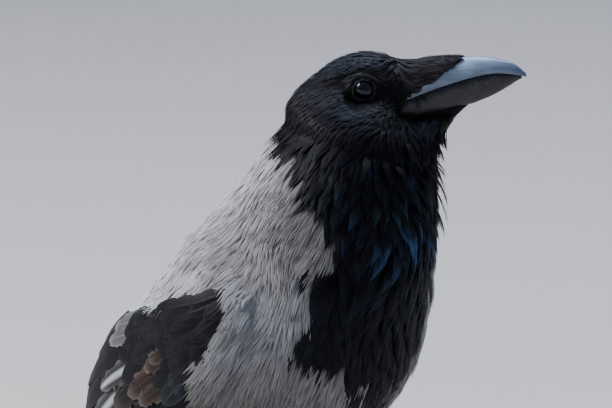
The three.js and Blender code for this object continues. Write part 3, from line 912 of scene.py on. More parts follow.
@dataclass(frozen=True)
class Feather(Finish):
    """Barbed keratin: each lock carries its own tint, and fine barbs cross it at 0.3 mm or so."""

    barb: float = 0.34
    contrast: float = 0.25
    relief: float = 0.5

    def make(self) -> bpy.types.Material:
        """Make the material, its colour read from the feathers' own tints and crossed by barbs.

        Returns:
            The material.
        """
        material, tree, shader = self.start()
        tint = add_node(tree, "ShaderNodeAttribute", {"attribute_name": "tint"})
        barbs = add_node(tree, "ShaderNodeUVMap", {"uv_map": "Barbs"})
        wave = add_node(tree, "ShaderNodeTexWave", {
            "wave_type": "BANDS", "bands_direction": "X", "Scale": 0.314 / self.barb, "Distortion": 1.4,
            "Detail": 1.0, "Detail Scale": 0.6,
        }, {"Vector": barbs.outputs["UV"]})
        grain = add_node(tree, "ShaderNodeTexNoise", {
            "noise_dimensions": "2D", "Scale": 0.22, "Detail": 3.0,
        }, {"Vector": barbs.outputs["UV"]})
        blend = add_node(tree, "ShaderNodeMath", {"operation": "MULTIPLY"},
                         {0: wave.outputs["Fac"], 1: grain.outputs["Fac"]})
        shade = add_node(tree, "ShaderNodeMapRange", {
            "From Min": 0.0, "From Max": 0.6, "To Min": 1.0 - self.contrast, "To Max": 1.0 + self.contrast,
        }, {"Value": blend.outputs[0]})
        base = add_node(tree, "ShaderNodeVectorMath", {"operation": "SCALE"},
                        {0: tint.outputs["Color"], "Scale": shade.outputs["Result"]})
        tree.links.new(base.outputs["Vector"], shader.inputs["Base Color"])
        bump = add_node(tree, "ShaderNodeBump", {"Strength": self.relief, "Distance": 0.0001},
                        {"Height": blend.outputs[0]})
        tree.links.new(bump.outputs["Normal"], shader.inputs["Normal"])
        return material


@dataclass(frozen=True)
class Scaled(Finish):
    """Leathery skin, horn or scutes: a tint broken by grain, scratches and pores."""

    light: int = 0x3A3A3C
    dark: int = 0x161617
    grain: float = 2.0
    stretch: tuple[float, float, float] = (1.0, 1.0, 1.0)
    fleck: float = 0.0
    relief: float = 0.4
    tinted: bool = False

    def make(self) -> bpy.types.Material:
        """Make the material, grained at this finish's size in millimetres.

        Returns:
            The material.
        """
        material, tree, shader = self.start()
        place = add_node(tree, "ShaderNodeTexCoord")
        scale = tuple(1.0 / (self.grain * MM) * part for part in self.stretch)
        sized = add_node(tree, "ShaderNodeMapping", {"Scale": scale}, {"Vector": place.outputs["Object"]})
        cloud = add_node(tree, "ShaderNodeTexNoise", {"Scale": 1.0, "Detail": 4.0, "Roughness": 0.6},
                         {"Vector": sized.outputs["Vector"]})
        pores = add_node(tree, "ShaderNodeTexVoronoi", {"Scale": 2.6}, {"Vector": sized.outputs["Vector"]})
        ramp = add_node(tree, "ShaderNodeMapRange", {"From Min": 0.34, "From Max": 0.66},
                        {"Value": cloud.outputs["Fac"]})
        tones = {"data_type": "RGBA", 6: colour(self.dark), 7: colour(self.light)}
        base = add_node(tree, "ShaderNodeMix", tones, {"Factor": ramp.outputs["Result"]})
        result = base.outputs[2]
        if self.fleck:
            spot = add_node(tree, "ShaderNodeMapRange", {
                "From Min": 0.10, "From Max": 0.26, "To Min": self.fleck, "To Max": 0.0,
            }, {"Value": pores.outputs["Distance"]})
            worn = add_node(tree, "ShaderNodeMix", {"data_type": "RGBA", 7: colour(0x8A8A88)},
                            {"Factor": spot.outputs["Result"], 6: result})
            result = worn.outputs[2]
        if self.tinted:
            tint = add_node(tree, "ShaderNodeAttribute", {"attribute_name": "tint"})
            settings = {"data_type": "RGBA", "blend_type": "MULTIPLY", "Factor": 1.0}
            double = add_node(tree, "ShaderNodeMix", settings, {6: result, 7: tint.outputs["Color"]})
            result = double.outputs[2]
        tree.links.new(result, shader.inputs["Base Color"])
        height = add_node(tree, "ShaderNodeMath", {"operation": "ADD"},
                          {0: cloud.outputs["Fac"], 1: pores.outputs["Distance"]})
        bump = add_node(tree, "ShaderNodeBump", {"Strength": self.relief, "Distance": 0.0002},
                        {"Height": height.outputs[0]})
        tree.links.new(bump.outputs["Normal"], shader.inputs["Normal"])
        return material


@dataclass(frozen=True)
class EyeFinish(Finish):
    """A wet, clear cornea over a dark brown iris: a hard bright highlight on near-black."""

    pupil: float = 2.1
    iris: float = 4.6

    def make(self, centre: Array, axis: Array) -> bpy.types.Material:
        """Make the material of one eye.

        Args:
            centre: the middle of the eyeball.
            axis: the way the eye looks.

        Returns:
            The material.
        """
        material, tree, shader = self.start()
        spot = add_node(tree, "ShaderNodeTexCoord")
        offset = add_node(tree, "ShaderNodeVectorMath", {
            "operation": "SUBTRACT", 1: tuple(float(part) for part in centre * MM),
        }, {0: spot.outputs["Object"]})
        across = add_node(tree, "ShaderNodeVectorMath", {
            "operation": "CROSS_PRODUCT", 1: tuple(float(part) for part in axis),
        }, {0: offset.outputs["Vector"]})
        reach = add_node(tree, "ShaderNodeVectorMath", {"operation": "LENGTH"}, {0: across.outputs["Vector"]})
        wide = add_node(tree, "ShaderNodeMapRange", {"From Min": 0.0, "From Max": self.iris * MM},
                        {"Value": reach.outputs["Value"]})
        ring = add_node(tree, "ShaderNodeValToRGB", {}, {"Fac": wide.outputs["Result"]})
        stops = ring.color_ramp.elements
        edge = self.pupil / self.iris
        stops[0].position, stops[0].color = edge - 0.03, colour(0x020202)
        stops[1].position, stops[1].color = edge + 0.03, colour(0x0E0907)
        for place, tone in ((0.86, 0x0B0806), (0.97, 0x070606)):
            stops.new(place).color = colour(tone)
        spokes = add_node(tree, "ShaderNodeTexNoise", {"Scale": 900.0, "Detail": 3.0},
                          {"Vector": across.outputs["Vector"]})
        lift = add_node(tree, "ShaderNodeMapRange", {"To Min": 0.6, "To Max": 1.5},
                        {"Value": spokes.outputs["Fac"]})
        base = add_node(tree, "ShaderNodeVectorMath", {"operation": "SCALE"},
                        {0: ring.outputs["Color"], "Scale": lift.outputs["Result"]})
        tree.links.new(base.outputs["Vector"], shader.inputs["Base Color"])
        return material


@dataclass(frozen=True)
class Floor(Finish):
    """Matt pale paper or plaster, which only catches the shadow."""

    tone: int = 0xCBC8C4

    def make(self) -> bpy.types.Material:
        """Make the floor's material, mottled very slightly.

        Returns:
            The material.
        """
        material, tree, shader = self.start()
        place = add_node(tree, "ShaderNodeTexCoord")
        cloud = add_node(tree, "ShaderNodeTexNoise", {"Scale": 3.0, "Detail": 3.0},
                         {"Vector": place.outputs["Object"]})
        lift = add_node(tree, "ShaderNodeMapRange", {"To Min": 0.97, "To Max": 1.03},
                        {"Value": cloud.outputs["Fac"]})
        base = add_node(tree, "ShaderNodeVectorMath", {"operation": "SCALE", 0: tuple(linear(self.tone))},
                        {"Scale": lift.outputs["Result"]})
        tree.links.new(base.outputs["Vector"], shader.inputs["Base Color"])
        return material


class Finishes:
    """All of the bird's materials, made once."""

    def __init__(self) -> None:
        """Make every material."""
        # Melanin-black barbed keratin, tightly zipped: satin, with a cold blue structural sheen.
        self.black = Feather("contour_feather_black_keratin", roughness=0.44, specular=0.11,
                             specular_tint=0xD9E2F2, contrast=0.30, relief=0.4).make()
        # Sparse-melanin keratin, downy and open: soft, almost without gloss.
        self.grey = Feather("contour_feather_grey_keratin", roughness=0.78, specular=0.3, sheen=0.12,
                            contrast=0.16, relief=0.5).make()
        # Zipped flight-feather vane: smoother than body feathers, so it takes a long satin highlight.
        self.vane = Feather("flight_feather_vane_keratin", roughness=0.44, specular=0.11,
                            specular_tint=0xDCE4F4, barb=0.5, contrast=0.22, relief=0.45).make()
        # Dry skin under the feathers: matt, hidden but for gaps.
        self.skin = Feather("feathered_skin_matt", roughness=0.85, specular=0.2, contrast=0.2).make()
        # Bare tarsus and toes: scuted leather-like keratin, dull black with worn grey edges.
        self.leg = Scaled("tarsus_scute_keratin", roughness=0.5, light=0x323234, dark=0x141415, grain=1.4,
                          fleck=0.25, relief=0.6).make()
        # Upper bill sheath: dense layered horn, polished by use, with lengthwise scratches.
        # Its pale blue-grey tone is painted sky reflection on dark horn.
        self.bill_upper = Scaled("bill_sheath_polished_horn", roughness=0.36, light=0x9DB2CE, dark=0x7A91AE,
                                 grain=3.0, stretch=(0.35, 0.35, 1.6), fleck=0.10, relief=0.16, tinted=True,
                                 coat=0.25, coat_roughness=0.25).make()
        # Lower bill sheath: the same horn, scuffed duller and speckled with pale chips.
        self.bill_lower = Scaled("bill_sheath_scuffed_horn", roughness=0.5, light=0x2C2E32, dark=0x15161A,
                                 grain=2.0, stretch=(0.5, 0.5, 1.4), fleck=0.55, relief=0.4,
                                 tinted=True).make()
        # Claw horn: hard, smooth and black, catching one small highlight.
        self.claw = Scaled("claw_horn", roughness=0.32, light=0x262628, dark=0x0E0E0F, grain=2.4,
                           relief=0.1).make()
        self.floor = Floor("matt_paper_floor", roughness=0.95, specular=0.1).make()
        self.eye = EyeFinish("eye_wet_cornea", roughness=0.15, ior=1.376, specular=0.6,
                             specular_tint=0xA4C2F2, coat=0.35, coat_roughness=0.02)




# ---------------------------------------------------------------- the plumage

@dataclass
class Surface:
    """The skin as the feathers meet it: where it is nearest, which way they lie, how they run over it."""

    skin: Skin

    def __post_init__(self) -> None:
        """Build the search tree and each triangle's mean normal, direction and area."""
        points, triangles = self.skin.points, self.skin.triangles
        self.tree = BVHTree.FromPolygons(points.tolist(), triangles.tolist())
        self.normals = unit(self.skin.normals[triangles].mean(axis=1))
        self.flow = unit(self.skin.flow[triangles].mean(axis=1))
        a, b, c = (points[corner] for corner in triangles.T)
        self.areas = np.linalg.norm(np.cross(b - a, c - a), axis=1) / 2
        self.middles = (a + b + c) / 3
        self.regions = self.skin.regions[triangles[:, 0]]

    def nearest(self, points: Array) -> tuple[Array, Array]:
        """Return the nearest place of the skin to each point, and its triangle."""
        found = [self.tree.find_nearest(place) for place in points.tolist()]
        return np.array([hit[0] for hit in found]), np.array([hit[2] for hit in found])

    def scatter(self, wanted: Array, spacing: Array, rng: np.random.Generator) -> Array:
        """Choose evenly spread places on some of the triangles.

        Args:
            wanted: which triangles may carry one.
            spacing: the least distance between places on each triangle.
            rng: the seeded source of chance.

        Returns:
            The chosen places and, in a fourth column, their triangles.
        """
        chosen = np.flatnonzero(wanted)
        weight = self.areas[chosen] / spacing[chosen] ** 2
        count = int(weight.sum() * 5)
        picks = rng.choice(chosen, size=count, p=weight / weight.sum())
        shares = rng.dirichlet((1.0, 1.0, 1.0), size=count)
        corners = self.skin.points[self.skin.triangles[picks]]
        places = (corners * shares[:, :, None]).sum(axis=1)
        tree = KDTree(count)
        for number, place in enumerate(places.tolist()):
            tree.insert(place, number)
        tree.balance()
        free = np.ones(count, dtype=bool)
        kept = []
        gaps = spacing[picks]
        for number in range(count):
            if free[number]:
                kept.append(number)
                for _, other, _ in tree.find_range(places[number].tolist(), gaps[number]):
                    free[other] = False
        kept = np.array(kept)
        return np.column_stack((places[kept], picks[kept]))

    def run(self, starts: Array, triangles: Array, lengths: Array, turn: Array,
            steps: int = 5) -> tuple[Array, Array, Array]:
        """Follow the lie of the feathers over the skin from each root.

        Args:
            starts: the roots.
            triangles: the triangle under each root.
            lengths: how far each feather reaches.
            turn: an angle in radians by which each one leaves the general lie.
            steps: how many steps each takes.

        Returns:
            The middle line, the direction across and the normal at each step, root first.
        """
        place = starts.copy()
        normal = self.normals[triangles]
        way = self.flow[triangles]
        way = way * np.cos(turn)[:, None] + np.cross(normal, way) * np.sin(turn)[:, None]
        places, across, normals = [place], [np.cross(normal, way)], [normal]
        step = (lengths / steps)[:, None]
        for _ in range(steps):
            ahead = place + way * step
            near, triangle = self.nearest(ahead)
            gap = np.linalg.norm(near - ahead, axis=1)[:, None]
            hold = smoothstep(gap, 2.5, 5.0)
            place = near * (1 - hold) + ahead * hold
            normal = unit(self.normals[triangle] * (1 - hold) + normal * hold)
            way = unit(way * 0.62 + self.flow[triangle] * 0.38 * (1 - hold))
            way = unit(way - dot(way, normal) * normal)
            places.append(place)
            across.append(np.cross(normal, way))
            normals.append(normal)
        return np.stack(places, 1), np.stack(across, 1), np.stack(normals, 1)


class Shape(Enum):
    """How the locks of one tuft are set out."""

    FAN = "fan"
    LANCE = "lance"
    HAIR = "hair"


@dataclass(frozen=True)
class Tuft:
    """A pattern of thin overlapping locks, in shares of the tuft's length and width."""

    shape: Shape
    locks: int
    rings: int = 4
    seed: int = 1
    loose: float = 1.0
    streaks: float = 0.0

    def make(self) -> dict[str, Array]:
        """Set out the locks.

        Returns:
            The points' places along, across and above, their rise at the ridge, their shade and their place
            across the barbs, and the faces.
        """
        rng = np.random.default_rng(self.seed)
        locks, faces = [], []
        edge = np.array((-1.0, 0.0, 1.0))
        order = np.linspace(-1.0, 1.0, self.locks) if self.locks > 1 else np.zeros(1)
        for number, place in enumerate(order):
            spread = abs(place)
            jitter = rng.normal(0, 0.10 * self.loose)
            if self.shape is Shape.FAN:
                start, end = 0.05 * rng.random(), 1.0 - 0.16 * spread ** 2 - 0.36 * rng.random() ** 2
                lanes = ((0.0, 0.25), (0.30, 0.80), (1.0, 1.0))
                broad = 1.9 / self.locks
            elif self.shape is Shape.LANCE:
                start, end = 0.04 * rng.random(), 1.0 - 0.14 * spread - 0.16 * rng.random() ** 2
                lanes = ((0.0, 0.35), (0.4, 0.85), (1.0, 0.16))
                broad = 1.75 / self.locks
            else:
                start, end = 0.0, 1.0 - 0.2 * rng.random()
                lanes = ((0.0, 0.6), (1.0, 1.0))
                broad = 1.2 / self.locks
            share = np.linspace(0.0, 1.0, self.rings + 1)
            run = start + (end - start) * share
            lane = place * 0.5 * np.interp(run, *np.array(lanes).T)
            sway = rng.normal(0, 0.035 * self.loose) * np.sin(run * rng.uniform(2.5, 4.5) + rng.uniform(0, 6))
            middle = lane + sway * smoothstep(run, 0.2, 0.9) + jitter * 0.25 * run ** 2
            half = broad * 0.5 * np.interp(share, (0.0, 0.25, 0.7, 1.0), (0.7, 1.0, 0.75, 0.0))
            lift = (1.0 - spread) * 0.10 + 0.14 * rng.random()
            rise = lift * smoothstep(run, 0.15, 0.9) - 0.10 * spread * share
            tone = rng.normal(1.0, 0.40 if self.shape is Shape.HAIR else 0.12)
            tone *= 0.60 if rng.random() < self.streaks else 1.0
            wide = edge * half[:-1, None]
            locks.append((
                np.append(np.repeat(run[:-1], 3), run[-1]),
                np.append((middle[:-1, None] + wide).ravel(), middle[-1]),
                np.append(np.repeat(rise[:-1], 3), rise[-1]),
                np.append(np.outer(half[:-1], (0.0, 0.30, 0.0)).ravel(), 0.0),
                # painted shade and highlight: each lock is darker along its edges, where it meets the next,
                # and lighter along its ridge
                np.append(np.tile((0.91, 1.04, 0.91), self.rings), 1.0) * tone,
                np.append((wide + number).ravel(), float(number)),
            ))
            first = number * (self.rings * 3 + 1)
            for row in range(first, first + (self.rings - 1) * 3, 3):
                for a in (row, row + 1):
                    faces += [(a, a + 1, a + 4), (a, a + 4, a + 3)]
            last = first + (self.rings - 1) * 3
            faces += [(last, last + 1, last + 3), (last + 1, last + 2, last + 3)]
        names = ("along", "across", "above", "ridge", "shade", "side")
        return dict(zip(names, map(np.concatenate, zip(*locks)))) | {"faces": np.array(faces)}


@dataclass(frozen=True)
class Tract:
    """One kind of small feather: its size, how it stands off the skin, and its colours from root to tip."""

    shape: Shape
    locks: int
    length: float
    width: float
    depth: float
    curl: float = 0.03
    loose: float = 1.0
    root: int = 0x3A3B3E
    middle: int = 0xA2A5A9
    tip: int = 0xB9BBBE
    shaft: float = 0.7
    uneven: float = 0.08
    lifted: float = 0.04
    raised: float = 1.28
    settle: float = 0.05
    streaks: float = 0.0
    rings: int = 4
    patterns: int = 7

    def grow(self, surface: Surface, sheets: Sheets, roots: Array, bake: Array, scale: Array, shade: Array,
             gloss: Array, rng: np.random.Generator) -> None:
        """Grow one feather of this kind from each root.

        Args:
            surface: the skin that it lies on.
            sheets: where its faces are gathered.
            roots: places with their triangles in the fourth column.
            bake: the middle of each feather's patch on the bake map.
            scale: a share of the full length for each.
            shade: the red, green and blue share of each one.
            gloss: a painted sheen, a linear colour added to each feather's own.
            rng: the seeded source of chance.
        """
        lengths = self.length * scale * rng.uniform(0.88, 1.12, len(roots))
        widths = self.width * (0.35 + 0.65 * scale) * rng.uniform(0.88, 1.12, len(roots))
        turn = rng.normal(0, 0.10 * self.loose, len(roots))
        places, across, normals = surface.run(roots[:, :3], roots[:, 3].astype(int), lengths, turn)
        depth = self.depth * (0.45 + 0.55 * scale) * rng.uniform(1 - 0.18 * self.loose, 1.1, len(roots))
        depth = np.where(rng.random(len(roots)) < self.lifted, depth * self.raised, depth)
        tone = rng.normal(1.0, self.uneven, (len(roots), 1)) * shade
        bend = rng.normal(0, self.curl, len(roots))
        rows = {
            "places": places, "across": across, "normals": normals, "lengths": lengths[:, None],
            "widths": widths[:, None], "depth": depth[:, None], "bend": bend[:, None],
            "tone": tone[:, None, :], "bake": bake[:, None, :], "gloss": gloss[:, None, :],
        }
        kinds = rng.integers(0, self.patterns, len(roots))
        for kind in range(self.patterns):
            these = kinds == kind
            if these.any():
                pattern = Tuft(self.shape, self.locks, self.rings, 40 + kind, self.loose, self.streaks).make()
                self._place(pattern, {key: row[these] for key, row in rows.items()}, sheets, rng)

    def _place(self, pattern: dict[str, Array], rows: dict[str, Array], sheets: Sheets,
               rng: np.random.Generator) -> None:
        """Set one pattern down at several roots and gather it.

        Args:
            pattern: the tuft's points, shades and faces.
            rows: the line, sizes and colours of each root's tuft.
            sheets: where its faces are gathered.
            rng: the seeded source of chance.
        """
        steps = rows["places"].shape[1] - 1
        along = np.clip(pattern["along"], 0.0, 1.0) * steps
        low = np.minimum(along.astype(int), steps - 1)
        share = (along - low)[None, :, None]
        middle, side, out = (rows[key][:, low] * (1 - share) + rows[key][:, low + 1] * share
                             for key in ("places", "across", "normals"))
        run = pattern["along"][None, :]
        lengths, widths, deep = rows["lengths"], rows["widths"], rows["depth"]
        reach = pattern["across"] * widths + rows["bend"] * lengths * run ** 2
        height = -0.35 + (deep + 0.35) * (1 - (1 - run) ** 1.7) + pattern["above"] * np.minimum(deep, 3.0)
        height = height - self.settle * deep * smoothstep(run, 0.70, 1.05) - reach ** 2 / 90.0
        height = height + pattern["ridge"] * widths
        points = middle + side * reach[:, :, None] + out * height[:, :, None]
        first = np.clip(run / 0.55, 0, 1)[:, :, None]
        second = np.clip((run - 0.55) / 0.45, 0, 1)[:, :, None]
        root, body, tip = linear(self.root), linear(self.middle), linear(self.tip)
        tint = root + (body - root) * first + (tip - body) * second
        tint = tint * pattern["shade"][None, :, None] * rows["tone"]
        spine = np.exp(-(pattern["across"] / 0.045) ** 2)[None, :, None]
        tint = tint * (1 - (1 - self.shaft) * spine * (1 - second * 0.6))
        # painted sheen, added toward each feather's tip
        tint = tint + rows["gloss"] * smoothstep(run, 0.35, 0.8)[:, :, None]
        offset = rng.uniform(0, 400, (len(deep), 1, 2))
        barbs = np.stack((pattern["side"] * widths, run * lengths), axis=2) + offset
        patch = np.column_stack((pattern["across"], pattern["along"] - 0.5)) * (PATCH * 0.98)
        faces = pattern["faces"] + (np.arange(len(deep)) * run.size)[:, None, None]
        sheets.add(points.reshape(-1, 3), faces.reshape(-1, 3), tint.reshape(-1, 3), barbs.reshape(-1, 2),
                   (rows["bake"] + patch).reshape(-1, 2))


BLACK = {"root": 0x0A0A0B, "middle": 0x0D0D0F, "tip": 0x101114, "shaft": 0.9, "uneven": 0.20}
# the bristles' pale, bluish tips are painted sheen on black hairs
BRISTLE_WITH_PAINTED_SHEEN = {"root": 0x111012, "middle": 0x242426, "tip": 0x434349, "shaft": 1.0, "uneven": 0.35}
GREY = {"root": 0x8A8C90, "middle": 0xA6A8AC, "tip": 0xBBBDC0, "shaft": 0.72, "uneven": 0.05}


@dataclass
class Plumage:
    """All the body's small feathers, tract by tract."""

    plan: Plan
    marking: Marking
    surface: Surface
    spacing: float = 3.2
    neck: float = 268.0  # the height where the neck begins
    body_length: float = 26.0
    # the middle of the throat's painted sheen
    gloss_middle: tuple[float, float, float] = (139.0, 8.0, 288.0)
    seed: int = 7
    tracts: dict[str, Tract] = field(default_factory=lambda: {
        "back": Tract(Shape.FAN, 16, 25.0, 13.0, 3.9, loose=1.1, streaks=0.05, **GREY),
        "flank": Tract(Shape.FAN, 16, 27.0, 13.0, 4.0, loose=1.3, streaks=0.06, **GREY),
        "bib": Tract(Shape.LANCE, 10, 28.0, 8.0, 4.4, loose=1.3, **BLACK),
        "throat": Tract(Shape.LANCE, 7, 20.0, 5.2, 3.8, loose=1.2, lifted=0.10, raised=2.1, **BLACK),
        "nape_grey": Tract(Shape.FAN, 12, 21.0, 8.0, 3.5, loose=1.2, streaks=0.16, **GREY),
        "nape_black": Tract(Shape.LANCE, 5, 18.0, 3.2, 3.3, loose=1.2, raised=1.7, **BLACK),
        "crown": Tract(Shape.LANCE, 5, 10.0, 2.4, 1.5, loose=0.5, settle=0.0, lifted=0.0, patterns=5,
                       **BLACK),
        "face": Tract(Shape.LANCE, 4, 7.6, 1.7, 0.7, loose=0.4, settle=0.0, patterns=5, **BLACK),
        "bristle": Tract(Shape.HAIR, 3, 17.0, 1.9, 1.5, curl=0.02, loose=0.8, lifted=0.15,
                         patterns=6, **BRISTLE_WITH_PAINTED_SHEEN),
        "thigh": Tract(Shape.LANCE, 8, 17.0, 6.0, 2.6, loose=1.1, **BLACK),
    })

    def build(self) -> dict[str, Sheets]:
        """Grow every tract.

        Returns:
            The feathers' faces, gathered by where they are.
        """
        rng = np.random.default_rng(self.seed)
        surface, plan = self.surface, self.plan
        middles = surface.middles
        along, out, above = plan.head.local(middles)
        eye_gap = plan.eye_gap(middles)
        regions = surface.regions
        spacing = np.full(len(middles), self.spacing)
        rise = smoothstep(middles[:, 2], self.neck, 325)
        spacing = spacing * (1 - rise) + 2.1 * rise
        head = regions == Region.HEAD
        spacing = np.where(head, 1.05 + 0.75 * smoothstep(eye_gap, 8, 30), spacing)
        line = surface.skin.feather_line(along)
        pad = head & (along > 16) & (above > line - 1.5)
        spacing = np.where(pad, 1.0, spacing)
        low_gap = 3.8 - 1.2 * (1 - smoothstep(middles[:, 2], 80, 120))
        spacing = np.where(regions == Region.THIGH, low_gap, spacing)
        dressed = np.isin(regions, (Region.HEAD, Region.NECK, Region.TRUNK, Region.THIGH))
        dressed &= (eye_gap > 5.7) & (plan.eye_gap(middles + surface.flow * 2.8) > 5.6)
        bare = (along > surface.skin.gape(above)) & (above < line) & (above > -21.0)
        dressed &= ~(bare & (np.abs(out) < 12.5) & head)
        return self._sort(surface.scatter(dressed, spacing, rng), rng)

    def _sort(self, roots: Array, rng: np.random.Generator) -> dict[str, Sheets]:
        """Give each root its tract, size and tone, and grow them.

        Args:
            roots: places with their triangles in the fourth column.
            rng: the seeded source of chance.

        Returns:
            The feathers' faces, gathered by where they are.
        """
        plan, surface = self.plan, self.surface
        places = roots[:, :3]
        triangles = roots[:, 3].astype(int)
        regions = surface.regions[triangles]
        along, _, above = plan.head.local(places)
        eye_gap = plan.eye_gap(places)
        ahead = 11.0 + 9.0 * (1 - smoothstep(places[:, 2], 225, 245))
        tips = places + surface.flow[triangles] * ahead[:, None]
        ragged = 2.2 + 11.0 * (1 - smoothstep(places[:, 2], 200, 236))
        ragged += 20.0 * (1 - smoothstep(places[:, 2], 190, 226))
        inside = self.marking.inside(tips) + rng.normal(0, 1.0, len(places)) * ragged
        head = (regions == Region.HEAD) | (regions == Region.BILL)
        pad = head & (along > 16) & (above > surface.skin.feather_line(along) - 1.5)
        rump = plan.tail.local(places)[0] > -6.0
        black = head | (inside > 0) | (places[:, 2] > 338) | rump
        thigh = regions == Region.THIGH
        high = places[:, 2] > self.neck
        around = np.abs(self.marking.around(places))
        kind = np.full(len(places), "back", dtype=object)
        kind[around < 90] = "flank"
        kind[high] = "nape_grey"
        kind[black & ~high] = "bib"
        kind[black & high] = "nape_black"
        kind[black & high & (around < 70) & (places[:, 2] < 330)] = "throat"
        kind[thigh] = "thigh"
        kind[head] = "crown"
        kind[head & (eye_gap < 17) & (above < 9)] = "face"
        kind[head & (above < -24)] = "throat"
        kind[pad] = "bristle"
        scale = np.ones(len(places))
        scale = np.where(kind == "crown", np.clip(0.75 + 0.02 * (eye_gap - 10), 0.7, 1.35), scale)
        scale = np.where(kind == "face", np.clip(0.40 + 0.075 * (eye_gap - 7), 0.40, 1.15), scale)
        chin = 0.62 + 0.2 * (1 - smoothstep(along, -10, 10))
        scale = np.where((kind == "throat") & head, chin, scale)
        reach = np.clip((48.0 - along) / 30.0, 0.35, 1.0)
        scale = np.where(kind == "bristle", reach * (0.7 + 0.3 * smoothstep(above, -12, -2)), scale)
        longer = 1 + 0.30 * (1 - smoothstep(places[:, 2], 130, 175))
        longer = np.where(rump & (surface.normals[triangles][:, 2] < 0), 0.7, longer)
        scale = np.where((kind == "back") | (kind == "flank") | rump, longer, scale)
        scale = np.where(thigh, 0.55 + 0.5 * smoothstep(places[:, 2], 78, 130), scale)
        parting = np.abs(along - 16.0) < 3.0
        scale = np.where(head & parting & (above > -14), scale * 0.6, scale)
        room = self._room(roots, kind)
        kind[room < 0.30] = "none"
        scale = np.minimum(scale, room)
        reach_back, _, offset = plan.along_back(places)
        around = np.arctan2(offset[:, 1], -offset[:, 0]) / (2 * math.pi) + 0.5
        back = np.clip((reach_back + 20) / (plan.reach[-1] + 50), 0, 1)
        bake = np.column_stack((0.02 + 0.58 * back, 0.02 + 0.96 * around))
        side = (places[:, 1] > 0).astype(float)
        rise = smoothstep(places[:, 2], 60, 180)
        low = np.column_stack((0.84 + 0.12 * np.mod(around * 2, 1), 0.05 + 0.4 * side + 0.4 * rise))
        bake = np.where(thigh[:, None], low, bake)
        sheen_paints = self._gloss(places, kind)
        grey = np.isin(kind, ("back", "flank", "nape_grey"))
        lit = smoothstep(surface.normals[triangles][:, 2], 0.38, 0.95)
        # painted light and sky reflection: black head feathers facing up are made several times lighter and
        # bluer, those facing down darker; black feathers above the neck line are a little darker as painted
        # shade
        dark = np.where(head, 0.62 + 4.6 * lit, np.where(high, 0.95, 1.0))
        dark = dark[:, None] * (1 + np.array((-0.10, 0.02, 0.28)) * (head * lit)[:, None])
        dark = np.where(pad[:, None], 1.0, dark)
        shade = np.where(grey[:, None], self.marking.grey_tone(places), dark)
        groups: dict[str, Sheets] = {}
        for name, tract in self.tracts.items():
            chosen = np.flatnonzero(kind == name)
            for part, these in self._split(name, chosen, places):
                sheets = groups.setdefault(part, Sheets())
                rows = (values[these] for values in (roots, bake, scale, shade, sheen_paints))
                tract.grow(surface, sheets, *rows, rng)
        return groups

    def _room(self, roots: Array, kind: Array) -> Array:
        """Find out where each body feather reaches a folded wing and has to end.

        Args:
            roots: places with their triangles in the fourth column.
            kind: each one's tract.

        Returns:
            The share of each feather's length that it may have.
        """
        room = np.full(len(roots), 9.0)
        body = np.flatnonzero(np.isin(kind, ("back", "flank", "nape_grey", "bib")))
        steps, length = 8, self.body_length
        lengths, flat = np.full(len(body), length), np.zeros(len(body))
        triangles = roots[body, 3].astype(int)
        places, _, _ = self.surface.run(roots[body, :3], triangles, lengths, flat, steps)
        overlap = np.random.default_rng(self.seed + 1).uniform(-1.0, 2.5, len(body))
        overlap = overlap - 3.0 * (kind[body] == "back")
        for step in range(steps, 0, -1):
            _, under = self.surface.nearest(places[:, step])
            wing = np.isin(self.surface.regions[under], WINGS)
            room[body[wing]] = (step - 0.5) / steps + overlap[wing] / length
        return room

    def _gloss(self, places: Array, kind: Array) -> Array:
        """Work out the painted blue to green sheen of the throat and bib, standing in for their iridescent
        gloss.

        Args:
            places: the roots.
            kind: each one's tract.

        Returns:
            A linear colour for each root.
        """
        gap = np.linalg.norm(places - np.array(self.gloss_middle), axis=1)
        weight = np.isin(kind, ("throat", "bib", "nape_black")) * (0.04 + np.exp(-(gap / 17.0) ** 2))
        weight = weight * (0.08 + 0.92 * smoothstep(ripple(places, 9.0, 21), -0.1, 0.9))
        hue = smoothstep(ripple(places, 30.0, 22), -0.6, 0.6)[:, None]
        return 1.7 * weight[:, None] * (linear(0x2C4A58) * hue + linear(0x305176) * (1 - hue))

    @staticmethod
    def _split(name: str, chosen: Array, places: Array) -> list[tuple[str, Array]]:
        """Share a tract's roots out between pieces, by side and height.

        Args:
            name: the tract's name.
            chosen: the numbers of its roots.
            places: every root's place.

        Returns:
            Each piece's name with the numbers of its roots.
        """
        grey = name in ("back", "flank", "nape_grey")
        cuts = ((262.0, "bib"), (1e3, "hood"))
        if grey:
            cuts = ((172.0, "rump"), (225.0, "back"), (258.0, "mantle"), (1e3, "nape"))
        elif name in ("crown", "face", "bristle"):
            cuts = ((1e3, "head"),)
        elif name == "thigh":
            cuts = ((1e3, "thighs"),)
        result = []
        for side in SIDES:
            mine = chosen[(places[chosen, 1] > 0) == (side == "left")]
            floor = -1e3
            for roof, place in cuts:
                level = places[mine, 2]
                title = f"{'grey' if grey else 'black'}_{place}_{side}"
                result.append((title, mine[(level > floor) & (level <= roof)]))
                floor = roof
        return [(title, these) for title, these in result if len(these)]

    def dress(self, groups: dict[str, Sheets], finishes: Finishes) -> None:
        """Write each group of feathers as one piece.

        Args:
            groups: the feathers' faces, gathered by where they are.
            finishes: the bird's materials.
        """
        for name, sheets in groups.items():
            tone = name.split("_")[0]
            sheets.make(f"feathers_{name}", getattr(finishes, tone), f"{tone}_plumage")


# ---------------------------------------------------------------- flight feathers

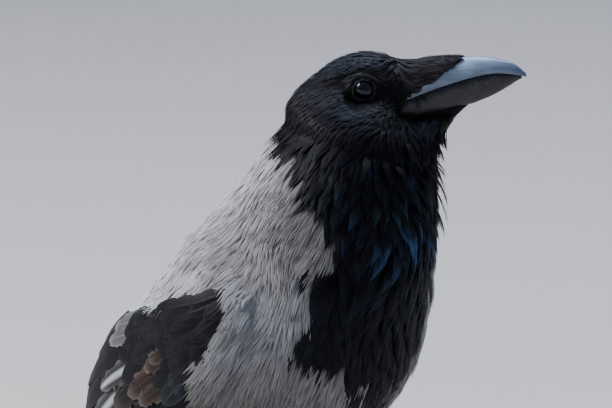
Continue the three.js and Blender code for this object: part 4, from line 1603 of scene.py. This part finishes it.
@dataclass(frozen=True)
class Vane:
    """One zipped feather: a shaft with a barbed vane on each side of it."""

    width: float
    leading: float = 0.5
    tip_start: float = 0.72
    tip_power: float = 2.2
    thick: float = 0.5
    camber: float = 30.0
    rows: int = 9
    closed: bool = False
    frayed: float = 0.0
    shaft_rise: float = 0.28
    shaft_share: float = 0.05
    base: int = 0x101216
    edge: int = 0x23272D
    shaft: int = 0x0B0B0C
    root: int = 0x0C0C0D

    def add(self, sheets: Sheets, line: Array, across: Array, normals: Array, bake: tuple[float, float],
            rng: np.random.Generator, strip: tuple[float, float] = (PATCH * 0.98, PATCH * 0.98)) -> None:
        """Lay the feather along a line and gather its faces.

        Args:
            sheets: where its faces are gathered.
            line: places along the shaft, evenly spaced.
            across: the direction of the leading vane at each place.
            normals: the outward direction at each place.
            bake: the middle of its patch on the bake map.
            rng: the seeded source of chance.
            strip: the width and height of its patch.
        """
        share = 1 - (1 - np.linspace(0, 1, self.rows + 1)) ** 1.35
        knots = np.linspace(0, 1, len(line))
        middle, side, out = (np.column_stack([np.interp(share, knots, rows[:, axis]) for axis in range(3)])
                             for rows in (line, across, normals))
        length = float(np.linalg.norm(np.diff(line, axis=0), axis=1).sum())
        past = np.clip((share - self.tip_start) / (1 - self.tip_start), 0, 1)
        round_tip = (1 - past ** self.tip_power) ** (1 / self.tip_power)
        profile = (0.42 + 0.58 * smoothstep(share, -0.05, 0.38)) * round_tip
        columns = np.array((-1.0, -0.72, -0.36, -0.07, 0.0, 0.07, 0.36, 0.72, 1.0))
        widths = np.where(columns > 0, self.width * self.leading, self.width * (1 - self.leading))
        bite = np.abs(rng.normal(0, 0.5, (len(share), len(columns)))) * (0.3 + 0.7 * share[:, None])
        rag = 1 - self.frayed * bite * (np.abs(columns) > 0.9)
        rag *= 1 - 0.025 * rng.random((len(share), len(columns)))
        reach = profile[:, None] * (columns * widths)[None, :] * rag
        ridge = self.shaft_rise * np.exp(-(columns / 0.06) ** 2)[None, :] * (1 - share)[:, None] ** 0.5
        waver = 0.12 * ripple(middle, 14.0, int(rng.integers(1e6)))[:, None] * np.abs(columns)[None, :]
        height = ridge - reach ** 2 / (2 * self.camber) + waver
        top = middle[:, None] + side[:, None] * reach[:, :, None] + out[:, None] * height[:, :, None]
        tone = rng.normal(1.0, 0.08)
        tint = np.ones((len(share), len(columns), 3)) * linear(self.base) * tone
        # lighter toward the edges and the tip: partly wear, partly painted sheen
        worn = np.abs(columns) ** 3 * (0.25 + 0.75 * share[:, None])
        worn = np.maximum(worn, past[:, None] ** 3)
        tint = tint + (linear(self.edge) - linear(self.base)) * (tone * worn)[:, :, None]
        tint = np.where((np.abs(columns) < self.shaft_share)[None, :, None], linear(self.shaft), tint)
        fade = smoothstep(share, 0.0, 0.25)[:, None, None]
        tint = linear(self.root) * (1 - fade) + tint * fade
        slant = np.abs(reach) * 0.75 + (share * length)[:, None]
        barbs = np.stack((slant, reach * 0.5), axis=2) + rng.uniform(0, 300, 2)
        patch = np.broadcast_arrays(columns * strip[0] / 2, (share[:, None] - 0.5) * strip[1])
        baked = np.stack(patch, 2) + np.array(bake)
        count = len(columns)
        row, column = np.meshgrid(np.arange(len(share) - 1), np.arange(count - 1), indexing="ij")
        first = (row * count + column).ravel()
        faces = np.column_stack((first, first + count, first + count + 1, first + 1))
        points, tint, barbs, baked = (rows.reshape(-1, rows.shape[-1]) for rows in (top, tint, barbs, baked))
        if self.closed:
            depth = self.thick * (0.25 + 0.75 * (1 - np.abs(columns)))[None, :] * (1 - 0.7 * share)[:, None]
            under = top - out[:, None] * depth[:, :, None]
            total = len(points)
            points = np.concatenate((points, under.reshape(-1, 3)))
            grid = np.arange(total).reshape(-1, count)
            loop = np.concatenate((grid[0], grid[1:, -1], grid[-1, -2::-1], grid[-2:0:-1, 0]))
            after = np.roll(loop, -1)
            walls = np.column_stack((loop, after, after + total, loop + total))
            faces = np.concatenate((faces, faces[:, ::-1] + total, walls))
            tint = np.concatenate((tint, tint * 1.15))
            barbs, baked = np.tile(barbs, (2, 1)), np.tile(baked, (2, 1))
        faces = np.concatenate((faces[:, [0, 1, 2]], faces[:, [0, 2, 3]]))
        sheets.add(points, faces, tint, barbs, baked)


class Wear(Enum):
    """How old a covert is: its tones, some with painted sheen, and how far its edge is frayed."""

    FRESH = {"base": 0x131418, "edge": 0x1D2025, "shaft": 0x0B0B0C, "root": 0x0C0C0D, "frayed": 0.08}
    DUSKY = {"base": 0x1E2026, "edge": 0x33383F, "shaft": 0x3A3F48, "root": 0x14151A, "frayed": 0.2}
    BROWN = {"base": 0x2C2422, "edge": 0x655B57, "shaft": 0x3C332F, "root": 0x1A1615, "frayed": 0.6}
    WORN = {"base": 0x1E1B1A, "edge": 0x4C4744, "shaft": 0x2E2926, "root": 0x131111, "frayed": 0.65}
    # painted highlight: the bright bluish shaft and pale edges stand in for light along the shaft; the
    # fraying is wear
    SHAFTED = {"base": 0x2B2725, "edge": 0x74767C, "shaft": 0xA4AEB8, "root": 0x1E1B1A, "frayed": 0.5,
               "shaft_share": 0.1}
    # painted sheen: the pale grey stands in for light on a frayed covert
    PALE = {"base": 0x575557, "edge": 0x89898D, "shaft": 0x77787D, "root": 0x232224, "frayed": 0.45}


@dataclass
class Wing:
    """One folded wing: coverts in overlapping rows, then secondaries and tertials."""

    plan: Plan
    side: str
    lesser: tuple[float, float, float, float] = (-4.0, 46.0, 4.3, 4.9)
    seed: int = 31

    def __post_init__(self) -> None:
        """Take up the folded wing's form."""
        self.fold = Fold(self.plan, self.side)
        self.sign = SIDES[self.side]

    def line(self, start: float, around: float, length: float, low: float, high: float,
             drift: float = 0.0, steps: int = 6) -> tuple[Array, Array, Array]:
        """Lead a shaft over the wing.

        Args:
            start: how far back along the wing the root is.
            around: the share of the way from the low edge to the high one.
            length: the feather's length.
            low: the root's height over the folded wing's surface.
            high: the tip's height.
            drift: how far round the tip has moved, as a share.
            steps: how many steps there are.

        Returns:
            The shaft's places, with the leading direction and the normal at each.
        """
        share = np.linspace(0, 1, steps + 1)
        along = start + share * length
        turned = around + share * drift
        middle = self.fold.surface(along, turned)
        way = unit(self.fold.surface(along + 1.0, turned) - self.fold.surface(along - 1.0, turned))
        around_way = self.fold.surface(along, turned + 0.02) - self.fold.surface(along, turned - 0.02)
        normals = unit(np.cross(way, around_way) * -self.sign)
        outward = np.sign((normals[:, 1] * self.sign + normals[:, 2] * 0.6).mean())
        normals = normals * (outward if outward else 1.0)
        across = -unit(np.cross(normals, way)) * self.sign
        leading = np.sign(-dot(across, around_way).mean())
        across = across * leading
        height = low + (high - low) * share ** 0.8
        return middle + normals * height[:, None], across, normals

    def _bake(self, along: float, around: float) -> tuple[float, float]:
        """Find a root's place on the wings' share of the bake map.

        Args:
            along: how far back along the wing the root is.
            around: the share of the way from the low edge to the high one.

        Returns:
            The place across and up the map.
        """
        half = 0.04 if self.sign > 0 else 0.52
        back, turn = np.clip(((along + 10) / 150, around), 0, 1)
        return 0.63 + 0.18 * float(back), half + 0.43 * float(turn)

    def _arc(self, along: float) -> float:
        """Return how far it is round the wing from its low edge to its high one."""
        edge = self.fold.surface(np.full(13, along), np.linspace(0, 1, 13))
        return float(np.linalg.norm(np.diff(edge, axis=0), axis=1).sum())

    def coverts(self, sheets: Sheets) -> None:
        """Lay the small coverts in staggered rows, each over the roots of the next.

        Args:
            sheets: where their faces are gathered.
        """
        rng = np.random.default_rng(self.seed)
        start, end, step, gap = self.lesser
        rows = [(place, 15.0, 9.4, gap) for place in np.arange(start, end, step)]
        rows += [(44.0, 20.0, 11.5, 6.6), (51.0, 25.0, 12.5, 7.6), (60.0, 34.0, 14.5, 9.4),
                 (72.0, 46.0, 16.5, 11.5)]
        for number, (place, length, width, gap) in enumerate(reversed(rows)):
            arc = self._arc(place)
            count = max(2, int(arc / gap))
            for index in range(count):
                around = (index + 0.5 * (number % 2) + 0.15 + 0.2 * rng.random()) / count
                around = min(around, 1.0 - (1.5 if 3.0 < place < 27.0 else 5.0) / arc)
                if self.fold.covered(np.array((place + 0.45 * length,)), np.array((around,)))[0]:
                    continue
                small = length < 16
                dress = self._wear(place, around, rng)
                vane = Vane(width * rng.uniform(0.90, 1.10), leading=0.48, tip_start=0.40 if small else 0.60,
                            tip_power=1.9, camber=16.0 if small else 26.0, rows=9 if small else 18, **dress)
                low, lift = (-1.3, 0.1) if small else (-1.1, 0.2)
                if dress["frayed"] > 0.2:
                    lift = 0.9
                line = self.line(place + rng.normal(0, 1.0), around, length * rng.uniform(0.86, 1.14), low,
                                 lift + 0.3 * rng.random(), rng.normal(0, 0.016))
                vane.add(sheets, *line, self._bake(place, around), rng)

    def _wear(self, place: float, around: float, rng: np.random.Generator) -> dict[str, float | int]:
        """Choose a covert's wear: a few on each wing are old, bleached and frayed, and some carry painted
        sheen.

        Args:
            place: how far back along the wing its root is.
            around: the share of the way from the low edge to the high one.
            rng: the seeded source of chance.

        Returns:
            Its tones and how far it is frayed.
        """
        spots = (
            (51.0, 0.82, Wear.PALE), (44.0, 0.47, Wear.BROWN), (51.0, 0.34, Wear.BROWN),
            (44.0, 0.26, Wear.DUSKY), (60.0, 0.50, Wear.SHAFTED), (60.0, 0.38, Wear.WORN),
            (72.0, 0.50, Wear.SHAFTED), (72.0, 0.38, Wear.WORN),
        )
        if self.side == "left":
            spots = ((44.0, 0.40, Wear.WORN), (60.0, 0.62, Wear.WORN), (72.0, 0.30, Wear.DUSKY))
        near = [wear for spot, turn, wear in spots
                if abs(spot - place) < 3.0 and abs(turn - around) < (0.075 if place < 55 else 0.055)]
        wear = near[0] if near else Wear.FRESH
        tones = dict(wear.value)
        if wear is Wear.FRESH:
            tones["base"] = (0x131418, 0x17181C, 0x101115, 0x1C1D21)[int(rng.integers(0, 4))]
        return tones

    def flight(self, sheets: Sheets) -> None:
        """Lay the secondaries and the tertials, each one over the one below it.

        Args:
            sheets: where their faces are gathered.
        """
        rng = np.random.default_rng(self.seed + 1)
        for index in range(9):
            around = 0.03 + 0.088 * index
            vane = Vane(18.0, leading=0.36, tip_start=0.82, camber=60.0, rows=22, closed=True, edge=0x2A2F37,
                        frayed=0.05)
            line = self.line(96.0, around, 134.0 - 1.4 * index, -1.7 + 0.14 * index, -0.9 + 0.18 * index,
                             -0.02, 10)
            vane.add(sheets, *line, self._bake(96.0, around), rng)
        for index in range(4):
            around = 0.80 + 0.055 * index
            vane = Vane(22.0, leading=0.44, tip_start=0.74, camber=48.0, rows=20, closed=True, edge=0x2E333A,
                        frayed=0.07)
            line = self.line(98.0 - 2.0 * index, around, 127.0 - 7.0 * index, -0.4 + 0.2 * index,
                             0.5 + 0.25 * index, 0.0, 8)
            vane.add(sheets, *line, self._bake(104.0, around), rng)

    def dress(self, finishes: Finishes) -> None:
        """Make the wing's two pieces.

        Args:
            finishes: the bird's materials.
        """
        for name, lay in (("coverts", self.coverts), ("secondaries", self.flight)):
            sheets = Sheets()
            lay(sheets)
            sheets.make(f"feathers_{name}_{self.side}", finishes.vane)


@dataclass
class Tail:
    """Twelve tail feathers fanned one over the other, and the long primaries that lie over their base."""

    plan: Plan
    pairs: int = 6
    length: float = 184.0
    width: float = 28.0
    rounding: float = 0.6
    primaries: int = 5
    roll: float = 16.0  # how far the primaries lean off the tail's plane, in degrees
    seed: int = 61

    def build(self, sheets: Sheets) -> None:
        """Lay the tail feathers, the middle pair on top.

        Args:
            sheets: where their faces are gathered.
        """
        rng = np.random.default_rng(self.seed)
        axes = self.plan.tail
        share = np.linspace(0, 1, 9)
        for pair in range(self.pairs):
            for number, sign in enumerate(SIDES.values()):
                turn = math.radians(0.4 + 0.95 * pair) * sign
                length = self.length - self.rounding * pair ** 2
                along = share * length * math.cos(turn)
                out = sign * (0.6 + 1.2 * pair) + share * length * math.sin(turn)
                above = 1.9 - 0.75 * pair - 0.25 * (sign < 0) - 2.2 * share ** 2
                line = axes.point(along, out, above)
                across = np.tile(axes.left * sign, (9, 1)) - math.sin(turn) * sign * axes.forward
                normals = np.tile(axes.up, (9, 1))
                vane = Vane(self.width - pair, leading=0.5 - 0.045 * pair, tip_start=0.90, tip_power=2.6,
                            camber=120.0, rows=30, closed=True, thick=0.6, edge=0x24282E, frayed=0.03)
                place = (0.65 + 0.012 * pair + 0.08 * number, 0.985)
                vane.add(sheets, line, unit(across), normals, place, rng, (0.010, 0.02))

    def build_primaries(self, side: str, sheets: Sheets) -> None:
        """Lay one wing's long primaries along the tail's side.

        Args:
            side: the wing's side.
            sheets: where their faces are gathered.
        """
        rng = np.random.default_rng(self.seed + 3)
        sign = SIDES[side]
        axes = self.plan.tail
        share = np.linspace(0, 1, 9)[:, None]
        roll = math.radians(self.roll)
        across = unit(axes.left * sign * math.cos(roll) - axes.up * math.sin(roll))
        normal = unit(axes.up * math.cos(roll) + axes.left * sign * math.sin(roll))
        across, normal = np.tile(across, (9, 1)), np.tile(normal, (9, 1))
        for index in range(self.primaries):
            start = np.array((44.0, 9.0 + 4.0 * index, 7.6 - 0.3 * index))
            end = np.array((157.0 - 13.0 * index, 7.5 + 4.2 * index, 6.4 - 0.2 * index))
            start = start - 0.33 * (end - start)
            places = start + share * (end - start)
            places[:, 2] -= 1.2 * share[:, 0] ** 2
            line = axes.point(places[:, 0], places[:, 1] * sign, places[:, 2])
            vane = Vane(15.5, leading=0.3, tip_start=0.80, tip_power=1.9, camber=60.0, rows=28, closed=True,
                        thick=0.6, edge=0x2B3038, frayed=0.04)
            place = (0.85 + 0.012 * index + 0.07 * (sign > 0), 0.985)
            vane.add(sheets, line, across, normal, place, rng, (0.010, 0.02))

    def dress(self, finishes: Finishes) -> None:
        """Make the tail and both wings' primaries.

        Args:
            finishes: the bird's materials.
        """
        tail = Sheets()
        self.build(tail)
        tail.make("feathers_tail", finishes.vane, nodes=("tail",))
        for side in SIDES:
            sheets = Sheets()
            self.build_primaries(side, sheets)
            sheets.make(f"feathers_primaries_{side}", finishes.vane, nodes=(f"primaries_{side}",))


# ---------------------------------------------------------------- bill, eyes and claws

def loft(rings: Array) -> tuple[Array, Array]:
    """Close a row of rings into one skin with a cap at each end.

    Args:
        rings: places by ring and by corner.

    Returns:
        The points and the triangles.
    """
    count, corners = rings.shape[:2]
    row, column = np.meshgrid(np.arange(count - 1), np.arange(corners), indexing="ij")
    after = (column + 1) % corners
    a, b = (row * corners + column).ravel(), (row * corners + after).ravel()
    faces = np.concatenate((np.column_stack((a, b, b + corners)),
                            np.column_stack((a, b + corners, a + corners))))
    points = np.concatenate((rings.reshape(-1, 3), rings[0].mean(0)[None], rings[-1].mean(0)[None]))
    start, end = count * corners, count * corners + 1
    turn = np.arange(corners)
    after = (turn + 1) % corners
    base = (count - 1) * corners
    caps = np.concatenate((np.column_stack((after, turn, np.full(corners, start))),
                           np.column_stack((base + turn, base + after, np.full(corners, end)))))
    return points, np.concatenate((faces, caps))


@dataclass
class Bill:
    """The strong, slightly hooked bill: an upper half over a narrower lower one, with a fine gape line."""

    plan: Plan
    rows: tuple[tuple[float, ...], ...] = (
        (12, 4.4, -10.4, 12.4, -18.6), (16, 4.5, -9.7, 11.4, -20.0), (20, 4.5, -9.4, 10.2, -20.6),
        (25, 4.3, -8.7, 8.9, -20.5), (30, 4.1, -8.1, 7.8, -20.2),
        (40, 3.6, -7.1, 6.8, -19.4), (50, 2.4, -6.5, 5.6, -18.6), (58, 0.4, -6.8, 4.4, -16.8),
        (65, -2.6, -8.6, 3, -14.4), (70, -6, -10.6, 1.7, -12.6), (73.2, -10.4, -12.1, 0.5, -12.3),
    )
    rings: int = 46
    corners: int = 28
    gap: float = 0.22
    lower_narrow: float = 0.9

    def _half(self, upper: bool) -> tuple[Array, Array]:
        """Loft one half of the bill.

        Args:
            upper: whether it is the upper half.

        Returns:
            Its points and triangles.
        """
        table = np.array(self.rows, dtype=float)
        end = 73.2 if upper else 71.0
        places = 12 + (end - 12) * (1 - (1 - np.linspace(0, 1, self.rings)) ** 1.25)
        along, ridge, edge, wide, keel = between(table, table[:, 0], places).T
        wide = np.maximum(wide, 0.35)
        angle = np.linspace(0, math.pi, self.corners // 2 + 1)
        inner = np.linspace(-1, 1, self.corners - len(angle) + 2)[1:-1]
        if upper:
            reach, power, inset = np.maximum(ridge - edge, 0.5), 0.86, 0.97
            inside = 0.35 * (1 - inner ** 2) * np.minimum(1.0, wide / 4)[:, None]
        else:
            edge, wide = edge - self.gap, wide * self.lower_narrow
            reach, power, inset = -np.maximum(edge - keel, 0.35), 0.9, 1.0
            inside = np.zeros((self.rings, len(inner)))
        bend = np.sign(np.cos(angle)) * np.abs(np.cos(angle)) ** power
        out = wide[:, None] * np.concatenate((bend, inner * inset))
        above = np.column_stack((reach[:, None] * np.sin(angle) ** 0.8, inside)) + edge[:, None]
        return loft(self.plan.head.point(along[:, None], out, above))

    def _dress_half(self, name: str, upper: bool, finish: bpy.types.Material) -> None:
        """Write one half of the bill as its own piece.

        Args:
            name: the piece's name.
            upper: whether it is the upper half.
            finish: its horn.
        """
        points, faces = self._half(upper)
        normals = point_normals(points, faces)
        if ((points - points.mean(0)) * normals).sum(1).mean() < 0:
            faces, normals = faces[:, ::-1], -normals
        above = self.plan.head.local(points)[2]
        grain = 0.05 * ripple(points, 7.0, 17) + 0.03 * ripple(points, 2.2, 18)
        flake = -0.10 * smoothstep(ripple(points, 9.0, 19), 0.75, 1.0)
        points = points + normals * (grain + flake)[:, None]
        # painted light: each half is tinted lighter toward its top, the upper half up to white, as if lit
        # from above
        if upper:
            low, high = linear(0x9FA4AA), linear(0xFFFFFF)
            lit = smoothstep(above, -9, 3) * (0.9 + 0.25 * ripple(points, 12.0, 23))
        else:
            low, high = linear(0x8A8C8F), linear(0xE8EAEC)
            lit = smoothstep(above, -20, -8) * (0.8 + 0.3 * ripple(points, 8.0, 24))
        shade = low + lit[:, None] * (high - low)
        write_piece(name, points, faces, (finish,), (name.replace("horn_", ""),), shade)

    def dress(self, finishes: Finishes) -> None:
        """Make both halves of the bill."""
        self._dress_half("horn_bill_upper", True, finishes.bill_upper)
        self._dress_half("horn_bill_lower", False, finishes.bill_lower)


@dataclass
class Eye:
    """One wet eyeball with its cornea standing a little proud."""

    plan: Plan
    side: str
    rings: int = 40
    corners: int = 64
    bulge: float = 0.25

    def dress(self, finishes: Finishes) -> None:
        """Make the eyeball as one closed piece.

        Args:
            finishes: the bird's materials.
        """
        centre = self.plan.eyes[self.side]
        axis = self.plan.head.left * SIDES[self.side]
        radius = self.plan.eye_radius - self.bulge
        angles = np.linspace(0.02, math.pi - 0.02, self.rings)
        turn = np.linspace(0, 2 * math.pi, self.corners, endpoint=False)
        reach = radius + self.bulge * (1 - smoothstep(angles, 0.35, 0.8))
        circle = self.plan.head.up * np.cos(turn)[:, None] + self.plan.head.forward * np.sin(turn)[:, None]
        rings = centre + axis * (reach * np.cos(angles))[:, None, None]
        rings = rings + circle * (radius * np.sin(angles))[:, None, None]
        points, faces = loft(rings)
        if ((points - centre) * point_normals(points, faces)).sum() < 0:
            faces = faces[:, ::-1]
        finish = finishes.eye.make(centre, axis)
        write_piece(f"eyeball_{self.side}", points, faces, (finish,), (f"eye_{self.side}",))


@dataclass
class Claws:
    """Eight curved claws on the toes' ends."""

    finish: bpy.types.Material

    def dress(self) -> None:
        """Give every claw its horn."""
        for name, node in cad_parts.items():
            if name.startswith("claw"):
                node.data.materials.clear()
                node.data.materials.append(self.finish)


# ---------------------------------------------------------------- the studio

@dataclass
class Studio:
    """A pale floor, soft daylight-like light from high on the left, and the camera."""

    plan: Plan
    azimuth: float = 45.0
    elevation: float = 10.0
    distance: float = 2500.0
    scale: float = 2.2
    eye_pixel: tuple[float, float] = (363.5, 84.0)
    size: tuple[int, int] = (612, 408)
    sensor: float = 36.0
    floor_reach: float = 40.0  # from the middle to each edge, in metres

    def axes(self) -> tuple[Array, Array, Array]:
        """Work out the camera's directions.

        Returns:
            The view's right, its up, and the way from the bird to the camera.
        """
        turn, rise = math.radians(self.azimuth), math.radians(self.elevation)
        right = np.array((math.cos(turn), math.sin(turn), 0.0))
        back = math.cos(rise) * np.array((math.sin(turn), -math.cos(turn), math.tan(rise)))
        return right, np.cross(back, right), back

    def build_camera(self) -> None:
        """Put the camera so that the eye is at its place in the picture."""
        right, raised, back = self.axes()
        out = (self.size[0] / 2 - self.eye_pixel[0]) / self.scale
        down = (self.size[1] / 2 - self.eye_pixel[1]) / self.scale
        target = self.plan.head.origin + right * out - raised * down
        data = bpy.data.cameras.new("view")
        data.sensor_width = self.sensor
        data.lens = self.sensor * self.distance * self.scale / self.size[0]
        data.clip_end = 200.0
        camera = add_object("view", data)
        turn = Matrix((right, raised, back)).transposed().to_4x4()
        camera.matrix_world = Matrix.Translation(Vector((target + back * self.distance) * MM)) @ turn
        bpy.context.scene.camera = camera

    @staticmethod
    def _lamp(name: str, way: Array, distance: float, size: float, power: float, tone: int) -> None:
        """Add one square soft light that shines at the middle of the bird.

        Args:
            name: the light's name.
            way: the direction from the bird to the light.
            distance: how far off it is, in metres.
            size: its side, in metres.
            power: its power in watts.
            tone: its colour.
        """
        data = bpy.data.lights.new(name, "AREA")
        data.size = size
        data.energy = power
        data.color = tuple(linear(tone))
        lamp = add_object(name, data)
        middle = Vector((0.05, 0.0, 0.25))
        lamp.location = middle + Vector(unit(way)) * distance
        lamp.rotation_euler = (middle - lamp.location).to_track_quat("-Z", "Y").to_euler()

    def build_light(self) -> None:
        """Add the key light, the top light and the sky."""
        right, raised, back = self.axes()
        self._lamp("key", -0.80 * right + 0.62 * raised + 0.30 * back, 3.0, 1.2, 130.0, 0xFFF8F0)
        self._lamp("top", 0.20 * right + 1.0 * raised - 0.15 * back, 3.2, 2.4, 110.0, 0xE6EEFF)
        world = bpy.data.worlds.new("sky")
        bpy.context.scene.world = world
        world.use_nodes = True
        tree = world.node_tree
        place = add_node(tree, "ShaderNodeTexCoord")
        split = add_node(tree, "ShaderNodeSeparateXYZ", {}, {"Vector": place.outputs["Generated"]})
        ramp = add_node(tree, "ShaderNodeValToRGB", {}, {"Fac": split.outputs["Z"]})
        stops = ramp.color_ramp.elements
        stops[0].position, stops[0].color = 0.0, colour(0xC9C8C6)
        stops[1].position, stops[1].color = 0.85, colour(0x9CBCEC)
        tree.links.new(ramp.outputs["Color"], tree.nodes["Background"].inputs["Color"])
        tree.nodes["Background"].inputs["Strength"].default_value = 0.50

    def build_floor(self, finish: bpy.types.Material) -> None:
        """Lay the floor that the bird stands on.

        Args:
            finish: its material.
        """
        mesh = bpy.data.meshes.new("floor")
        reach = self.floor_reach
        corners = [(-reach, -reach, 0), (reach, -reach, 0), (reach, reach, 0), (-reach, reach, 0)]
        mesh.from_pydata(corners, [], [(0, 1, 2, 3)])
        mesh.materials.append(finish)
        add_object("floor", mesh)


# ---------------------------------------------------------------- the bird, piece by piece

def main() -> None:
    """Build the crow, its finishes and its studio."""
    logging.basicConfig(level=logging.INFO, format="%(message)s")
    plan = Plan()
    studio = Studio(plan)
    studio.build_camera()
    studio.build_light()
    finishes = Finishes()
    studio.build_floor(finishes.floor)
    marking = Marking(plan)
    skin = Skin(plan, marking)
    skin.build()
    skin.dress(finishes.skin, finishes.leg)
    plumage = Plumage(plan, marking, Surface(skin))
    plumage.dress(plumage.build(), finishes)
    for side in SIDES:
        Wing(plan, side).dress(finishes)
        Eye(plan, side).dress(finishes)
    Tail(plan).dress(finishes)
    Bill(plan).dress(finishes)
    Claws(finishes.claw).dress()


if __name__ == "__main__":
    main()
